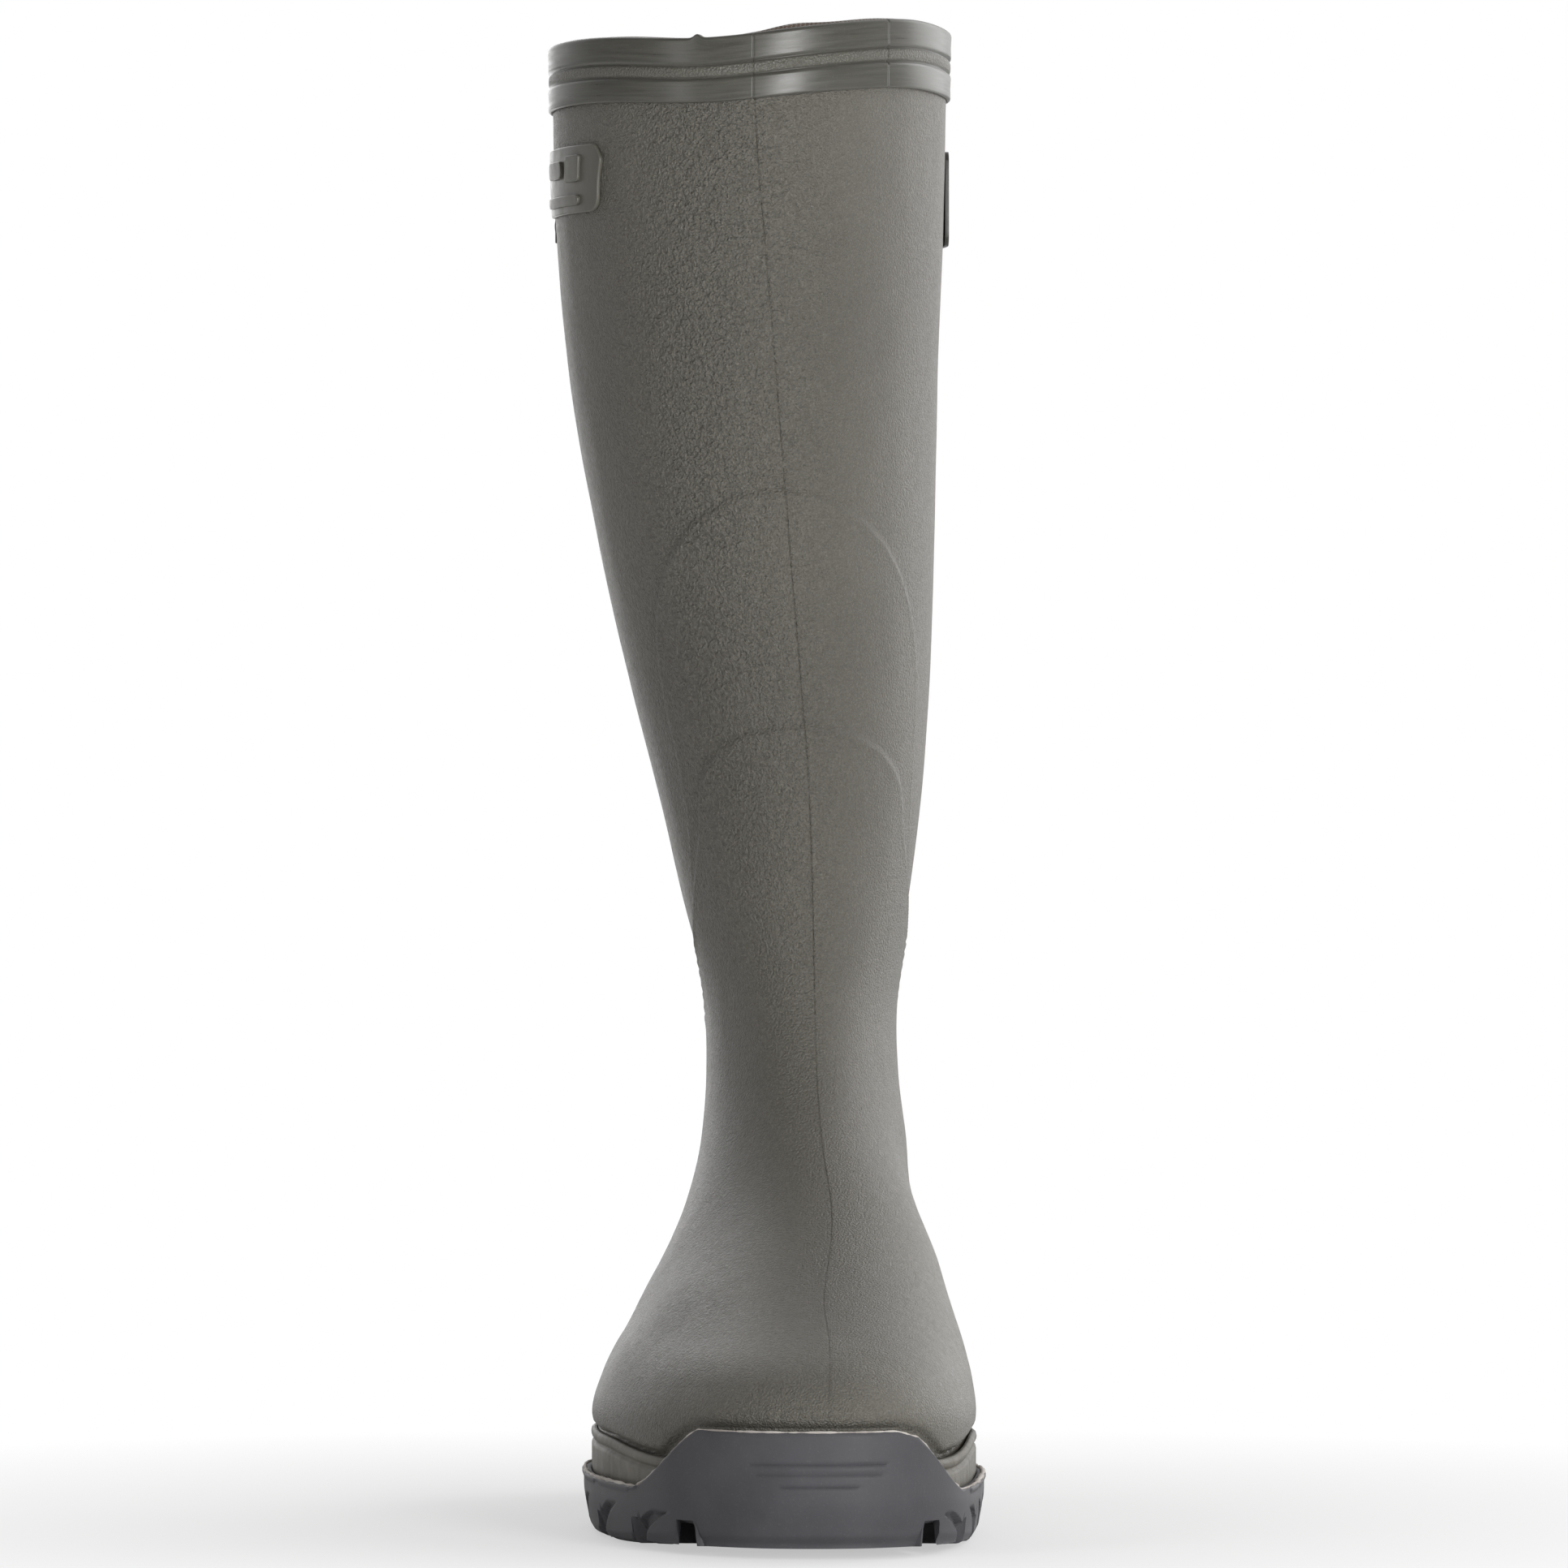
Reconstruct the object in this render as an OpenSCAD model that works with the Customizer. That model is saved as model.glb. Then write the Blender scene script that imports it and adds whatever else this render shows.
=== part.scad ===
// Right-foot insulated hunting boot: a tall rubber boot with a moulded outsole, a neoprene
// sock, a knitted lining, a lift-out footbed and a buckled calf strap over a rear gusset.
// The toe points along -Y, the inner (medial) side of the foot is +X, and the boot stands
// on the ground at Z = 0 with the origin on the ground below the ankle.

/* [Leg] */
// Height of the rim above the ground
rim_z = 430; // [420:1:440]
// How much the inner side of the rim stands above the middle, and the outer side below it
rim_rise = 2.2; // [0:0.2:4]
// Lowest point of the slit at the back of the leg
slit_z = 318; // [300:1:330]
// Half width of the slit at the rim, as an angle round the leg
slit_angle = 11; // [8:0.5:14]

/* [Foot] */
// How far the heel is raised above the forefoot
heel_rise = 10; // [6:0.5:12]
// How far the toe end curls up from the ground
toe_spring = 3.5; // [2:0.5:5]
// How far the tip of the toe swings towards the inner side
toe_swing = 8; // [5:0.5:10]

/* [Walls] */
// Thickness of the outer rubber shell
shell_t = 1.9; // [1.6:0.1:2]
// Thickness of each reinforcing ply on the shin, and of the inner stiffeners
ply_t = 0.7; // [0.5:0.1:0.7]
// Thickness of the neoprene sock
sock_t = 4; // [3:0.1:4]
// Thickness of the knitted lining
lining_t = 1.1; // [0.8:0.1:1.1]

/* [Shin plies] */
// Height of the top of the long ply
long_ply_z = 297; // [280:1:300]
// Height of the top of the short ply
short_ply_z = 228; // [215:1:235]

/* [Sole] */
// Height of the side wall of the outsole at the forefoot
wall_z = 17; // [16:0.5:18]
// Height of the toe bumper
bumper_z = 34; // [30:0.5:34]
// Top of the foxing strip at the forefoot
foxing_z = 29; // [27:0.5:29]
// Depth of the tread lugs
lug_h = 6; // [4:0.5:6]

/* [Strap] */
// Height of the middle of the calf strap
strap_z = 386; // [380:1:388]
// Width of the strap
strap_w = 22; // [18:1:22]
// Thickness of the strap
strap_t = 1.6; // [1.2:0.1:1.6]
// Height of the moulded pads that carry the strap
pad_h = 28; // [26:0.5:28]
// Radius of the heel bar that the buckle turns on
pin_r = 1.25; // [1:0.05:1.25]

/* [Hidden] */

rubber = "#64645c";
dark_rubber = "#4a4a4e";
metal = "#8d8f92";

// Each station of the last: height, front, back, half width at the ball, half width at the
// heel, centre at the heel, centre at the ball, squareness of the outline.
STATIONS = [
    [16, -215.0, 66.0, 49.0, 28.5, 0.0, 0.0, 2.45],
    [24, -219.5, 70.0, 52.4, 32.0, 0.0, 0.0, 2.45],
    [34, -222.5, 72.5, 54.0, 34.0, 0.0, 0.4, 2.45],
    [43, -218.0, 72.0, 52.3, 33.8, 0.3, 1.4, 2.40],
    [50, -208.0, 71.0, 50.2, 33.4, 0.8, 2.4, 2.35],
    [57, -191.0, 69.5, 47.6, 32.8, 1.4, 3.8, 2.30],
    [66, -167.0, 67.0, 44.8, 31.8, 2.4, 5.0, 2.25],
    [78, -138.0, 63.5, 40.8, 30.4, 3.8, 7.2, 2.20],
    [92, -110.5, 60.5, 35.4, 29.4, 5.2, 7.8, 2.15],
    [108, -88.0, 58.0, 29.4, 28.2, 5.9, 6.4, 2.10],
    [128, -70.0, 57.0, 26.6, 26.6, 5.4, 5.4, 2.05],
    [150, -60.5, 58.5, 27.3, 27.3, 4.9, 4.9, 2.0],
    [178, -57.0, 62.0, 33.4, 33.4, 3.6, 3.6, 2.0],
    [210, -57.0, 66.0, 39.2, 39.2, 1.8, 1.8, 2.0],
    [245, -59.0, 70.5, 44.8, 44.8, -1.4, -1.4, 2.0],
    [285, -62.5, 74.0, 49.8, 49.8, -5.3, -5.3, 2.0],
    [330, -66.0, 76.0, 54.2, 54.2, -8.9, -8.9, 2.0],
    [380, -68.5, 76.0, 57.4, 57.4, -10.2, -10.2, 2.0],
    [rim_z, -69.5, 75.5, 58.4, 58.4, -10.2, -10.2, 2.0]
];
LAST = len(STATIONS) - 1;
COLUMNS = 36;
PLY_COLUMNS = 44;
SHELL_COLUMNS = 60;
ROW_STEP = 0.75;
ROWS = LAST / ROW_STEP;

// Gaps between the layers of the wall, and the depth of each layer below the outer surface.
layer_gap = 0.45;
ply_gap = 0.85;
sock_gap = 0.6;
lining_gap = 0.75;
stiffener_d = shell_t + layer_gap;
gusset_d = stiffener_d + 0.25;
sock_d = stiffener_d + ply_t + sock_gap;
lining_d = sock_d + sock_t + lining_gap;
inside_d = lining_d + lining_t;

// ---------- the surface of the last ----------

function smooth(t) = let (u = min(max(t, 0), 1)) u * u * (3 - 2 * u);
function sign_pow(v, e) = sign(v) * pow(abs(v), e);
function unit(v) = v / norm(v);

// A station between two listed ones, on a Catmull-Rom curve through all of them.
function station(s) =
    let (
        i = min(max(floor(s), 0), LAST - 1),
        t = s - i,
        p1 = STATIONS[i],
        p2 = STATIONS[i + 1],
        p0 = i == 0 ? 2 * p1 - p2 : STATIONS[i - 1],
        p3 = i == LAST - 1 ? 2 * p2 - p1 : STATIONS[i + 2],
        m1 = (p2 - p0) / 2,
        m2 = (p3 - p1) / 2
    )
    p1 * (2 * pow(t, 3) - 3 * t * t + 1) + m1 * (pow(t, 3) - 2 * t * t + t)
    + p2 * (3 * t * t - 2 * pow(t, 3)) + m2 * (pow(t, 3) - t * t);

// The station number at a height, by halving the interval.
function station_at(z, lo = 0, hi = LAST, turns = 18) =
    turns == 0 ? (lo + hi) / 2
    : let (mid = (lo + hi) / 2)
      station(mid)[0] < z ? station_at(z, mid, hi, turns - 1) : station_at(z, lo, mid, turns - 1);

// Rise of the upper edge of the sole, and of its underside, where the toe also springs up.
function heel_line(y) = heel_rise * smooth((y + 75) / 90);
function lift(y) = heel_line(y) + toe_spring * smooth((-150 - y) / 75);

// Rise of the rim above its plane: it dips in front and swells just inside the front.
rim_lift = 1.6;
rim_dip = 3.4;
rim_swell = 1.6;
function rim_wave(a) =
    let (turn = a - 360 * round(a / 360))
    rim_lift - rim_dip * exp(-pow((turn + 12) / 28, 2)) + rim_swell * exp(-pow((turn - 52) / 22, 2));

// A point on the outer surface. Angle 0 is the front, 90 the inner side, 180 the back.
function skin(s, a) =
    let (
        q = station(s),
        z = q[0],
        foot = q[3] - q[4],
        e = cos(a) < 0 ? 2 / (q[7] + 0.045 * foot) : 2 / q[7],
        y = (q[1] + q[2]) / 2 - (q[2] - q[1]) / 2 * sign_pow(cos(a), e),
        medial = sin(a) > 0,
        to_heel = medial ? smooth((y + 130) / 140) : smooth((y + 95) / 110),
        arch = (medial ? 0.16 : 0.03) * foot * exp(-pow((y + 40) / 38, 2)),
        half = q[3] + (q[4] - q[3]) * to_heel - arch,
        middle = q[5] + (q[6] - q[5]) * smooth((-20 - y) / 80)
            + toe_swing * smooth((85 - z) / 35) * smooth((-120 - y) / 110),
        x = middle + half * sign_pow(sin(a), e),
        wave = (rim_rise * (x - q[5]) / q[4] + rim_wave(a)) * smooth((z - 360) / 70)
    )
    [x, y, z + lift(y) * smooth((95 - z) / 75) + wave];

// A point at a depth below the outer surface, along the surface's normal.
function layer(s, a, depth) =
    let (
        ds = 0.02,
        s0 = max(s - ds, 0),
        s1 = min(s + ds, LAST),
        up = skin(s1, a) - skin(s0, a),
        along = skin(s, a + 0.5) - skin(s, a - 0.5)
    )
    skin(s, a) - depth * unit(cross(along, up));

// ---------- solids made of two layers ----------

function flip(faces) = [for (f = faces) [for (k = [len(f) - 1:-1:0]) f[k]]];

// Outward-facing quads over a grid, where at(i, j) gives the index of row i and column j.
function quads(rows, columns, at) =
    [for (i = [0:rows - 1], j = [0:columns - 1])
        [at(i, j), at(i + 1, j), at(i + 1, j + 1), at(i, j + 1)]];

// A patch between two depths, over stations s_list and from -spread(s) to +spread(s) about
// the angle middle.
module patch(s_list, columns, middle, spread, outer, inner) {
    rows = len(s_list) - 1;
    per = columns + 1;
    function place(i, j, d) = layer(s_list[i], middle + spread(s_list[i]) * (2 * j / columns - 1), d);
    points = [for (d = [outer, inner], i = [0:rows], j = [0:columns]) place(i, j, d)];
    half = (rows + 1) * per;
    top = function(i, j) i * per + j;
    low = function(i, j) half + i * per + j;
    faces = concat(
        quads(rows, columns, top),
        flip(quads(rows, columns, low)),
        [for (j = [0:columns - 1]) [top(0, j), top(0, j + 1), low(0, j + 1), low(0, j)]],
        [for (j = [0:columns - 1]) [top(rows, j + 1), top(rows, j), low(rows, j), low(rows, j + 1)]],
        [for (i = [0:rows - 1]) [top(i + 1, 0), top(i, 0), low(i, 0), low(i + 1, 0)]],
        [for (i = [0:rows - 1])
            [top(i, columns), top(i + 1, columns), low(i + 1, columns), low(i, columns)]]
    );
    polyhedron(points, faces, convexity = 10);
}

// A sock closed under the foot: outer and inner walls, with rungs across the bottom.
// The first outer row and the first inner row are given by their stations.
module sock(outer, inner, outer_start, inner_start, top) {
    half_columns = COLUMNS / 2;
    function row_station(i, start) = start + (top - start) * i / ROWS;
    points = concat(
        [for (i = [0:ROWS], j = [0:COLUMNS - 1])
            layer(row_station(i, outer_start), 180 + 360 * j / COLUMNS, outer)],
        [for (i = [0:ROWS], j = [0:COLUMNS - 1])
            layer(row_station(i, inner_start), 180 + 360 * j / COLUMNS, inner)]
    );
    count = (ROWS + 1) * COLUMNS;
    out = function(i, j) i * COLUMNS + j % COLUMNS;
    ins = function(i, j) count + i * COLUMNS + j % COLUMNS;
    rungs = function(at)
        [for (j = [0:half_columns - 1])
            j == 0 ? [at(0, 0), at(0, 1), at(0, COLUMNS - 1)]
            : j == half_columns - 1 ? [at(0, j), at(0, j + 1), at(0, COLUMNS - j)]
            : [at(0, j), at(0, j + 1), at(0, COLUMNS - j - 1), at(0, COLUMNS - j)]];
    faces = concat(
        quads(ROWS, COLUMNS, out),
        flip(quads(ROWS, COLUMNS, ins)),
        rungs(out),
        flip(rungs(ins)),
        [for (j = [0:COLUMNS - 1]) [out(ROWS, j + 1), out(ROWS, j), ins(ROWS, j), ins(ROWS, j + 1)]]
    );
    polyhedron(points, faces, convexity = 10);
}

// ---------- outlines seen from above, for the sole parts ----------

// The widest outline of the foot, grown sideways by a distance, with extra at the toe.
sole_s = 2;
function outline(grow, toe_extra = 0) =
    [for (k = [0:71])
        let (
            a = 5 * k,
            p = skin(sole_s, a),
            along = skin(sole_s, a + 1) - skin(sole_s, a - 1),
            n = unit([along[1], -along[0]])
        )
        [p[0], p[1]] + n * (grow + toe_extra * smooth((-150 - p[1]) / 70))];

// A slab whose side view lies between two heights that follow the sole line.
module slab(grow, low, high, from = -240, to = 90) {
    step = 8;
    count = ceil((to - from) / step);
    ys = [for (k = [0:count]) from + (to - from) * k / count];
    intersection() {
        foot_prism(outline(grow));
        side_profile(concat(
            [for (y = ys) [y, low + lift(y)]],
            [for (k = [count:-1:0]) [ys[k], high + lift(ys[k])]]
        ));
    }
}

// An outline seen from above, extruded through the whole foot.
module foot_prism(points) {
    translate([0, 0, -20]) linear_extrude(120) polygon(points);
}

// A polygon given as [y, z] points, extruded across the whole foot.
module side_profile(points) {
    translate([-100, 0, 0]) rotate([90, 0, 90]) linear_extrude(200) polygon(points);
}

// ---------- sole ----------

floor_z = 12;
sole_base_z = lug_h + 1;
sole_grow = 4;
toe_grow = 2;
foxing_grow = 2;
pocket_grow = 1;
lug_sunk = 5;
toe_end = -232;
heel_end = 90;
heel_front = -3;
board_z = 17.6;
board_t = 1.4;

// A row of lugs across the sole, each given as [middle, width], turned outwards from the middle.
module lug_row(y, lugs, depth, turn) {
    top = sole_base_z + 4;
    for (lug = lugs)
        translate([lug[0], y, 0]) rotate(turn * sign(lug[0]))
            translate([-lug[1] / 2, -depth / 2, -lug_sunk]) cube([lug[1], depth, lug_sunk + top]);
}

// A toe lug, rows across the forefoot, and rows under the heel on each side of a solid middle.
module tread() {
    toe_lug = [56, 22, 16];
    translate([toe_swing - 22, toe_end, -lug_sunk]) cube(toe_lug);
    for (k = [0:5]) {
        shift = (k % 2) * 4;
        lug_row(-196 + 21 * k, [[-44, 30], [shift - 13, 20], [shift + 14, 20], [46, 30]], 14, 12);
    }
    for (k = [0:3])
        lug_row(heel_front + 8 + 18.5 * k, [[-23, 26], [23, 26]], 13, -10);
    heel_middle = [22, 66, 12];
    translate([-heel_middle[0] / 2, heel_front + 1, -lug_sunk]) cube(heel_middle);
}

module outsole() {
    bumper_rise = 26;
    bumper_back = -186;
    color(dark_rubber) difference() {
        intersection() {
            foot_prism(outline(sole_grow, toe_grow));
            union() {
                side_profile(concat(
                    [for (k = [0:10]) let (y = toe_end + (heel_front - toe_end) * k / 10)
                        [y, sole_base_z + lift(y)]],
                    [[heel_front + 6, lug_h], [heel_end, lug_h]],
                    [[heel_end, wall_z + heel_rise]],
                    [for (k = [12:-1:0]) let (y = bumper_back + 16 * k) [y, wall_z + heel_line(y)]],
                    [[bumper_back - bumper_rise, bumper_z], [toe_end, bumper_z + 1]]
                ));
                intersection() {
                    tread();
                    side_profile([
                        [toe_end, toe_spring], [-215, 3], [-150, 0], [heel_end, 0],
                        [heel_end, 12], [toe_end, 14]
                    ]);
                }
            }
        }
        intersection() {
            foot_prism(outline(pocket_grow, toe_grow - 0.2));
            side_profile(concat(
                [for (k = [0:20]) let (y = toe_end - 4 + 16 * k) [y, floor_z + lift(y)]],
                [[heel_end, 60], [toe_end - 4, 60]]
            ));
        }
    }
}

module midsole() {
    color("#b9b6ab") difference() {
        slab(0.4, floor_z + 0.2, 15.6);
        shank_pocket(0.3);
    }
}

module shank_pocket(gap) {
    low = floor_z + 1.6 - gap;
    ys = [for (k = [0:10]) -98 - gap + (100 + 2 * gap) * k / 10];
    intersection() {
        translate([-8 - gap, -200, 0]) cube([16 + 2 * gap, 300, 60]);
        side_profile(concat(
            [for (y = ys) [y, low + lift(y)]],
            [for (k = [10:-1:0]) [ys[k], low + 1.2 + 2 * gap + lift(ys[k])]]
        ));
    }
}

module shank() {
    color(metal) shank_pocket(0);
}

module insole_board() {
    color("#a98f68") slab(-9.5, board_z, board_z + board_t);
}

module foxing_strip() {
    front = -185;
    ys = [for (k = [0:20]) front - 3 + 14 * k];
    low = wall_z + layer_gap + 0.15;
    color(rubber) difference() {
        intersection() {
            foot_prism(outline(foxing_grow));
            side_profile(concat(
                [[front, low]],
                [for (k = [1:20]) [ys[k], low + heel_line(ys[k])]],
                [for (k = [20:-1:1]) [ys[k], foxing_z + heel_line(ys[k])]],
                [[front - 16, foxing_z]]
            ));
        }
        foot_prism(outline(layer_gap));
    }
}

// ---------- footbed ----------

footbed_inset = inside_d + 4.7;
footbed_z = board_z + board_t + sock_t + lining_t + 5.9;
footbed_t = 4;
cover_t = 1;

module footbed_foam() {
    color("#3c3f3d") slab(-footbed_inset, footbed_z, footbed_z + footbed_t);
}

module footbed_cover() {
    color("#8a7f6c")
        slab(-footbed_inset, footbed_z + footbed_t + 0.02, footbed_z + footbed_t + cover_t);
}

// ---------- upper ----------

slit_s = ceil(station_at(slit_z) / ROW_STEP) * ROW_STEP;
function slit_half(s) = s <= slit_s ? 0
    : slit_angle * smooth(0.15 + 0.85 * (station(s)[0] - slit_z) / (rim_z - slit_z));

// The shell is a tube up to the slit and an open C above it.
module outer_shell() {
    slit_row = slit_s / ROW_STEP;
    n = SHELL_COLUMNS;
    per = n + 1;
    count = (ROWS + 1) * per;
    function place(i, j, d) =
        let (s = i * ROW_STEP, half = slit_half(s))
        layer(s, 180 + half + (360 - 2 * half) * j / n, d);
    points = [for (d = [0, shell_t], i = [0:ROWS], j = [0:n]) place(i, j, d)];
    column = function(i, j) i <= slit_row && j == n ? 0 : j;
    out = function(i, j) i * per + column(i, j);
    ins = function(i, j) count + i * per + column(i, j);
    faces = concat(
        quads(ROWS, n, out),
        flip(quads(ROWS, n, ins)),
        [for (j = [0:n - 1]) [out(0, j), out(0, j + 1), ins(0, j + 1), ins(0, j)]],
        [for (j = [0:n - 1]) [out(ROWS, j + 1), out(ROWS, j), ins(ROWS, j), ins(ROWS, j + 1)]],
        [for (i = [slit_row:ROWS - 1]) [out(i + 1, 0), out(i, 0), ins(i, 0), ins(i + 1, 0)]],
        [for (i = [slit_row:ROWS - 1]) [out(i, n), out(i + 1, n), ins(i + 1, n), ins(i, n)]]
    );
    color(rubber) polyhedron(points, faces, convexity = 10);
}

// Half angle covered by a shin ply: a round arch at its top that widens by wrap degrees
// between the heights wide_from and wide_to, and then follows the foot down to the foxing.
ply_bottom = 1.88;
ply_middle = 6;
function ply_spread(s, top_z, widest, crown_h, wrap, wide_from, wide_to) =
    let (
        z = station(s)[0],
        below = min(1, (top_z - z) / crown_h),
        arch = sqrt(max(0, 1 - pow(1 - below, 2)))
    )
    max(3, widest * arch + wrap * smooth((wide_from - z) / (wide_from - wide_to)));

// The rows sit on the same stations as the shell's, so that the gap between them is even.
module shin_ply(top_z, widest, crown_h, wrap, wide_from, wide_to, rise) {
    crown = [for (d = [crown_h / 4, crown_h / 8, crown_h / 20, 0]) station_at(top_z - d)];
    body = [for (s = [3 * ROW_STEP:ROW_STEP:crown[0] - 0.1]) s];
    patch(concat([ply_bottom], body, crown), PLY_COLUMNS, ply_middle,
        function(s) ply_spread(s, top_z, widest, crown_h, wrap, wide_from, wide_to),
        -rise - ply_t, -rise);
}

module long_shin_ply() {
    color(rubber) shin_ply(long_ply_z, 57, 60, 60, 215, 85, ply_gap);
}

module short_shin_ply() {
    color(rubber) shin_ply(short_ply_z, 48, 25, 45, 210, 135, 2 * ply_gap + ply_t);
}

module toe_stiffener() {
    s_list = [for (k = [0:5]) 0.75 + k * ROW_STEP];
    color("#c9c2b0") patch(s_list, 12, 0, function(s) 60, stiffener_d, stiffener_d + ply_t);
}

module heel_counter() {
    s_list = [for (k = [0:8]) 0.75 + k * ROW_STEP];
    color("#c9c2b0") patch(s_list, 12, 180, function(s) 60, stiffener_d, stiffener_d + ply_t);
}

module neoprene_sock() {
    color("#2f3133") sock(sock_d, sock_d + sock_t, 0.42, 0.95, LAST - 0.04);
}

module lining() {
    color("#7d6d58") sock(lining_d, inside_d, 1.04, 1.18, LAST - 0.04);
}

module rear_gusset() {
    low_s = slit_s - 0.35;
    s_list = [for (k = [0:6]) low_s + (LAST - 0.08 - low_s) * k / 6];
    color("#33342f")
        patch(s_list, 8, 180, function(s) slit_half(s) + 7, gusset_d, gusset_d + ply_t);
}

// ---------- rim ----------

band_h = 19;
band_t = 1.3;
groove_d = 0.7;

// Profile of the binding: height below the rim, and depth below the leg's surface.
function binding_profile() = [
    [band_h, -layer_gap], [band_h, -layer_gap - 0.9], [band_h - 1, -layer_gap - band_t],
    [11, -layer_gap - band_t], [10.4, -layer_gap - band_t + groove_d], [9.6, -layer_gap - band_t],
    [8.4, -layer_gap - band_t], [7.6, -layer_gap - band_t + groove_d], [7, -layer_gap - band_t],
    [1, -layer_gap - band_t], [0, -layer_gap - 0.9], [0, -layer_gap]
];

module top_binding() {
    profile = binding_profile();
    n = len(profile);
    half = slit_half(LAST);
    points = [for (j = [0:COLUMNS], p = profile)
        layer(station_at(rim_z - p[0]), 180 + half + (360 - 2 * half) * j / COLUMNS, p[1])];
    at = function(j, k) j * n + k % n;
    faces = concat(
        [for (j = [0:COLUMNS - 1], k = [0:n - 1]) [at(j, k), at(j, k + 1), at(j + 1, k + 1), at(j + 1, k)]],
        [[for (k = [n - 1:-1:0]) at(0, k)]],
        [[for (k = [0:n - 1]) at(COLUMNS, k)]]
    );
    color("#55554e") polyhedron(points, faces, convexity = 10);
}

module collar_tape() {
    s_list = [station_at(rim_z - 16), station_at(rim_z - 8), LAST - 0.04];
    color("#8b6f5c")
        patch(s_list, COLUMNS, 0, function(s) 178, inside_d + layer_gap, inside_d + layer_gap + 0.7);
}

// ---------- fittings on the leg ----------

// A point at a distance out from the leg's wall, at the height of the strap.
wall_s = station_at(strap_z);
function wall_dir(a) =
    let (along = skin(wall_s, a + 0.5) - skin(wall_s, a - 0.5)) unit([along[1], -along[0]]);
function wall(a, out) = let (p = skin(wall_s, a)) [p[0], p[1]] + wall_dir(a) * out;

// Degrees round the leg for a length along its wall near an angle.
function degrees_for(length, a) = length / norm(skin(wall_s, a + 0.5) - skin(wall_s, a - 0.5));

// A strip that follows the wall from angle a0 to a1; rise(a) is how far its back stands out.
module strip(a0, a1, height, thick, rise, steps = 16) {
    angles = [for (k = [0:steps]) a0 + (a1 - a0) * k / steps];
    translate([0, 0, strap_z - height / 2]) linear_extrude(height)
        polygon(concat(
            [for (a = angles) wall(a, rise(a))],
            [for (k = [steps:-1:0]) wall(angles[k], rise(angles[k]) + thick)]
        ));
}

// Moves its children to the wall at an angle, with X along the wall, Y up and Z outwards.
module on_wall(a, out = 0, z = strap_z) {
    p = wall(a, out);
    n = wall_dir(a);
    translate([p[0], p[1], z]) rotate([90, 0, atan2(n[1], n[0]) + 90]) children();
}

pad_out = 0.4;
pad_t = 1.2;
inner_pad = [91, 118];
outer_pad = [243, 256];
inner_rivet_a = 112;
strap_first = 106;
rivet_r = 1.6;
rivet_gap = 7;
strap_base = 0.6;

module strap_pad(range, rivet_a) {
    middle = (range[0] + range[1]) / 2;
    width = norm(wall(range[1], 0) - wall(range[0], 0));
    corner = 4;
    color(dark_rubber) difference() {
        intersection() {
            strip(range[0], range[1], pad_h, pad_t, function(a) pad_out, 8);
            on_wall(middle, -20) linear_extrude(40)
                rounded(width + 1, pad_h, corner);
        }
        rivets_at(rivet_a) cylinder(r = rivet_r + 0.05, h = 40, center = true, $fn = 32);
    }
}

module rounded(w, h, r) {
    square([w, h - 2 * r], center = true);
    square([w - 2 * r, h], center = true);
    for (x = [-1, 1], y = [-1, 1])
        translate([x * (w / 2 - r), y * (h / 2 - r)]) circle(r, $fn = 32);
}

module rivets_at(a) {
    for (side = [-1, 1])
        on_wall(a, 0, strap_z + side * rivet_gap) children();
}

// Shank through the layers from the shell outwards, with a low domed head above out.
module rivet(out) {
    head_r = 3.2;
    translate([0, 0, pad_out + 0.1]) cylinder(r = rivet_r, h = out - pad_out + 0.2, $fn = 32);
    translate([0, 0, out + 0.05]) cylinder(r1 = head_r, r2 = head_r - 0.8, h = 0.7, $fn = 32);
}

outer_rivet_a = (outer_pad[0] + outer_pad[1]) / 2;

module inner_strap_pad() strap_pad(inner_pad, inner_rivet_a);
module outer_strap_pad() strap_pad(outer_pad, outer_rivet_a);

strap_on_pad = pad_out + pad_t + 0.2;
chape_out = strap_on_pad + 0.3;
chape_t = 1;

module strap_rivets() {
    color(metal) rivets_at(inner_rivet_a) rivet(strap_on_pad + strap_t);
}

module chape_rivets() {
    color(metal) rivets_at(outer_rivet_a) rivet(chape_out + chape_t);
}

// ---------- strap and buckle ----------

hinge_a = 222;
bar_gap = 19.5;
bar_a = hinge_a - degrees_for(bar_gap, hinge_a - 8);
hinge_out = 3.2;
bar_r = 1.2;
bar_out = 3.75;
knuckle_r = pin_r + 1.1;
frame_h = 25;
frame_bar = 2.4;
tail_end = 243;
keeper_a = 234;
hole_pitch = 11.5;
strap_over = hinge_out + knuckle_r + 0.2;
tail_out = 3.4;

// The strap lies on the leg, dives under the buckle's far bar, climbs over the heel bar and
// comes down to the tail on the chape. At the other end it climbs on to its pad.
function strap_rise(a) =
    let (
        on_pad = (strap_on_pad - strap_base) * smooth((inner_pad[1] + 4 - a) / 4),
        climb = (strap_over - strap_base) * smooth((a - bar_a - 2.5) / (hinge_a - bar_a - 4.5)),
        fall = (strap_over - tail_out) * smooth((a - hinge_a - 2.2) / 5)
    )
    strap_base + on_pad + climb - fall;

module calf_strap() {
    color(dark_rubber) difference() {
        strip(strap_first, tail_end, strap_w, strap_t, function(a) strap_rise(a), 72);
        rivets_at(inner_rivet_a) cylinder(r = rivet_r + 0.05, h = 40, center = true, $fn = 32);
        for (k = [-2:1])
            on_wall(hinge_a - 4.5 + hole_pitch * k) strap_hole(k == 0 ? 11.6 : 2);
    }
}

// An oblong hole; the one in use is long, to give the prong room to turn.
module strap_hole(hole_l) {
    hole_r = 1.9;
    linear_extrude(30, center = true) {
        square([hole_l, 2 * hole_r], center = true);
        for (side = [-1, 1])
            translate([side * hole_l / 2, 0]) circle(hole_r, $fn = 32);
    }
}

hinge_xy = wall(hinge_a, hinge_out);
bar_xy = wall(bar_a, bar_out);

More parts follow.
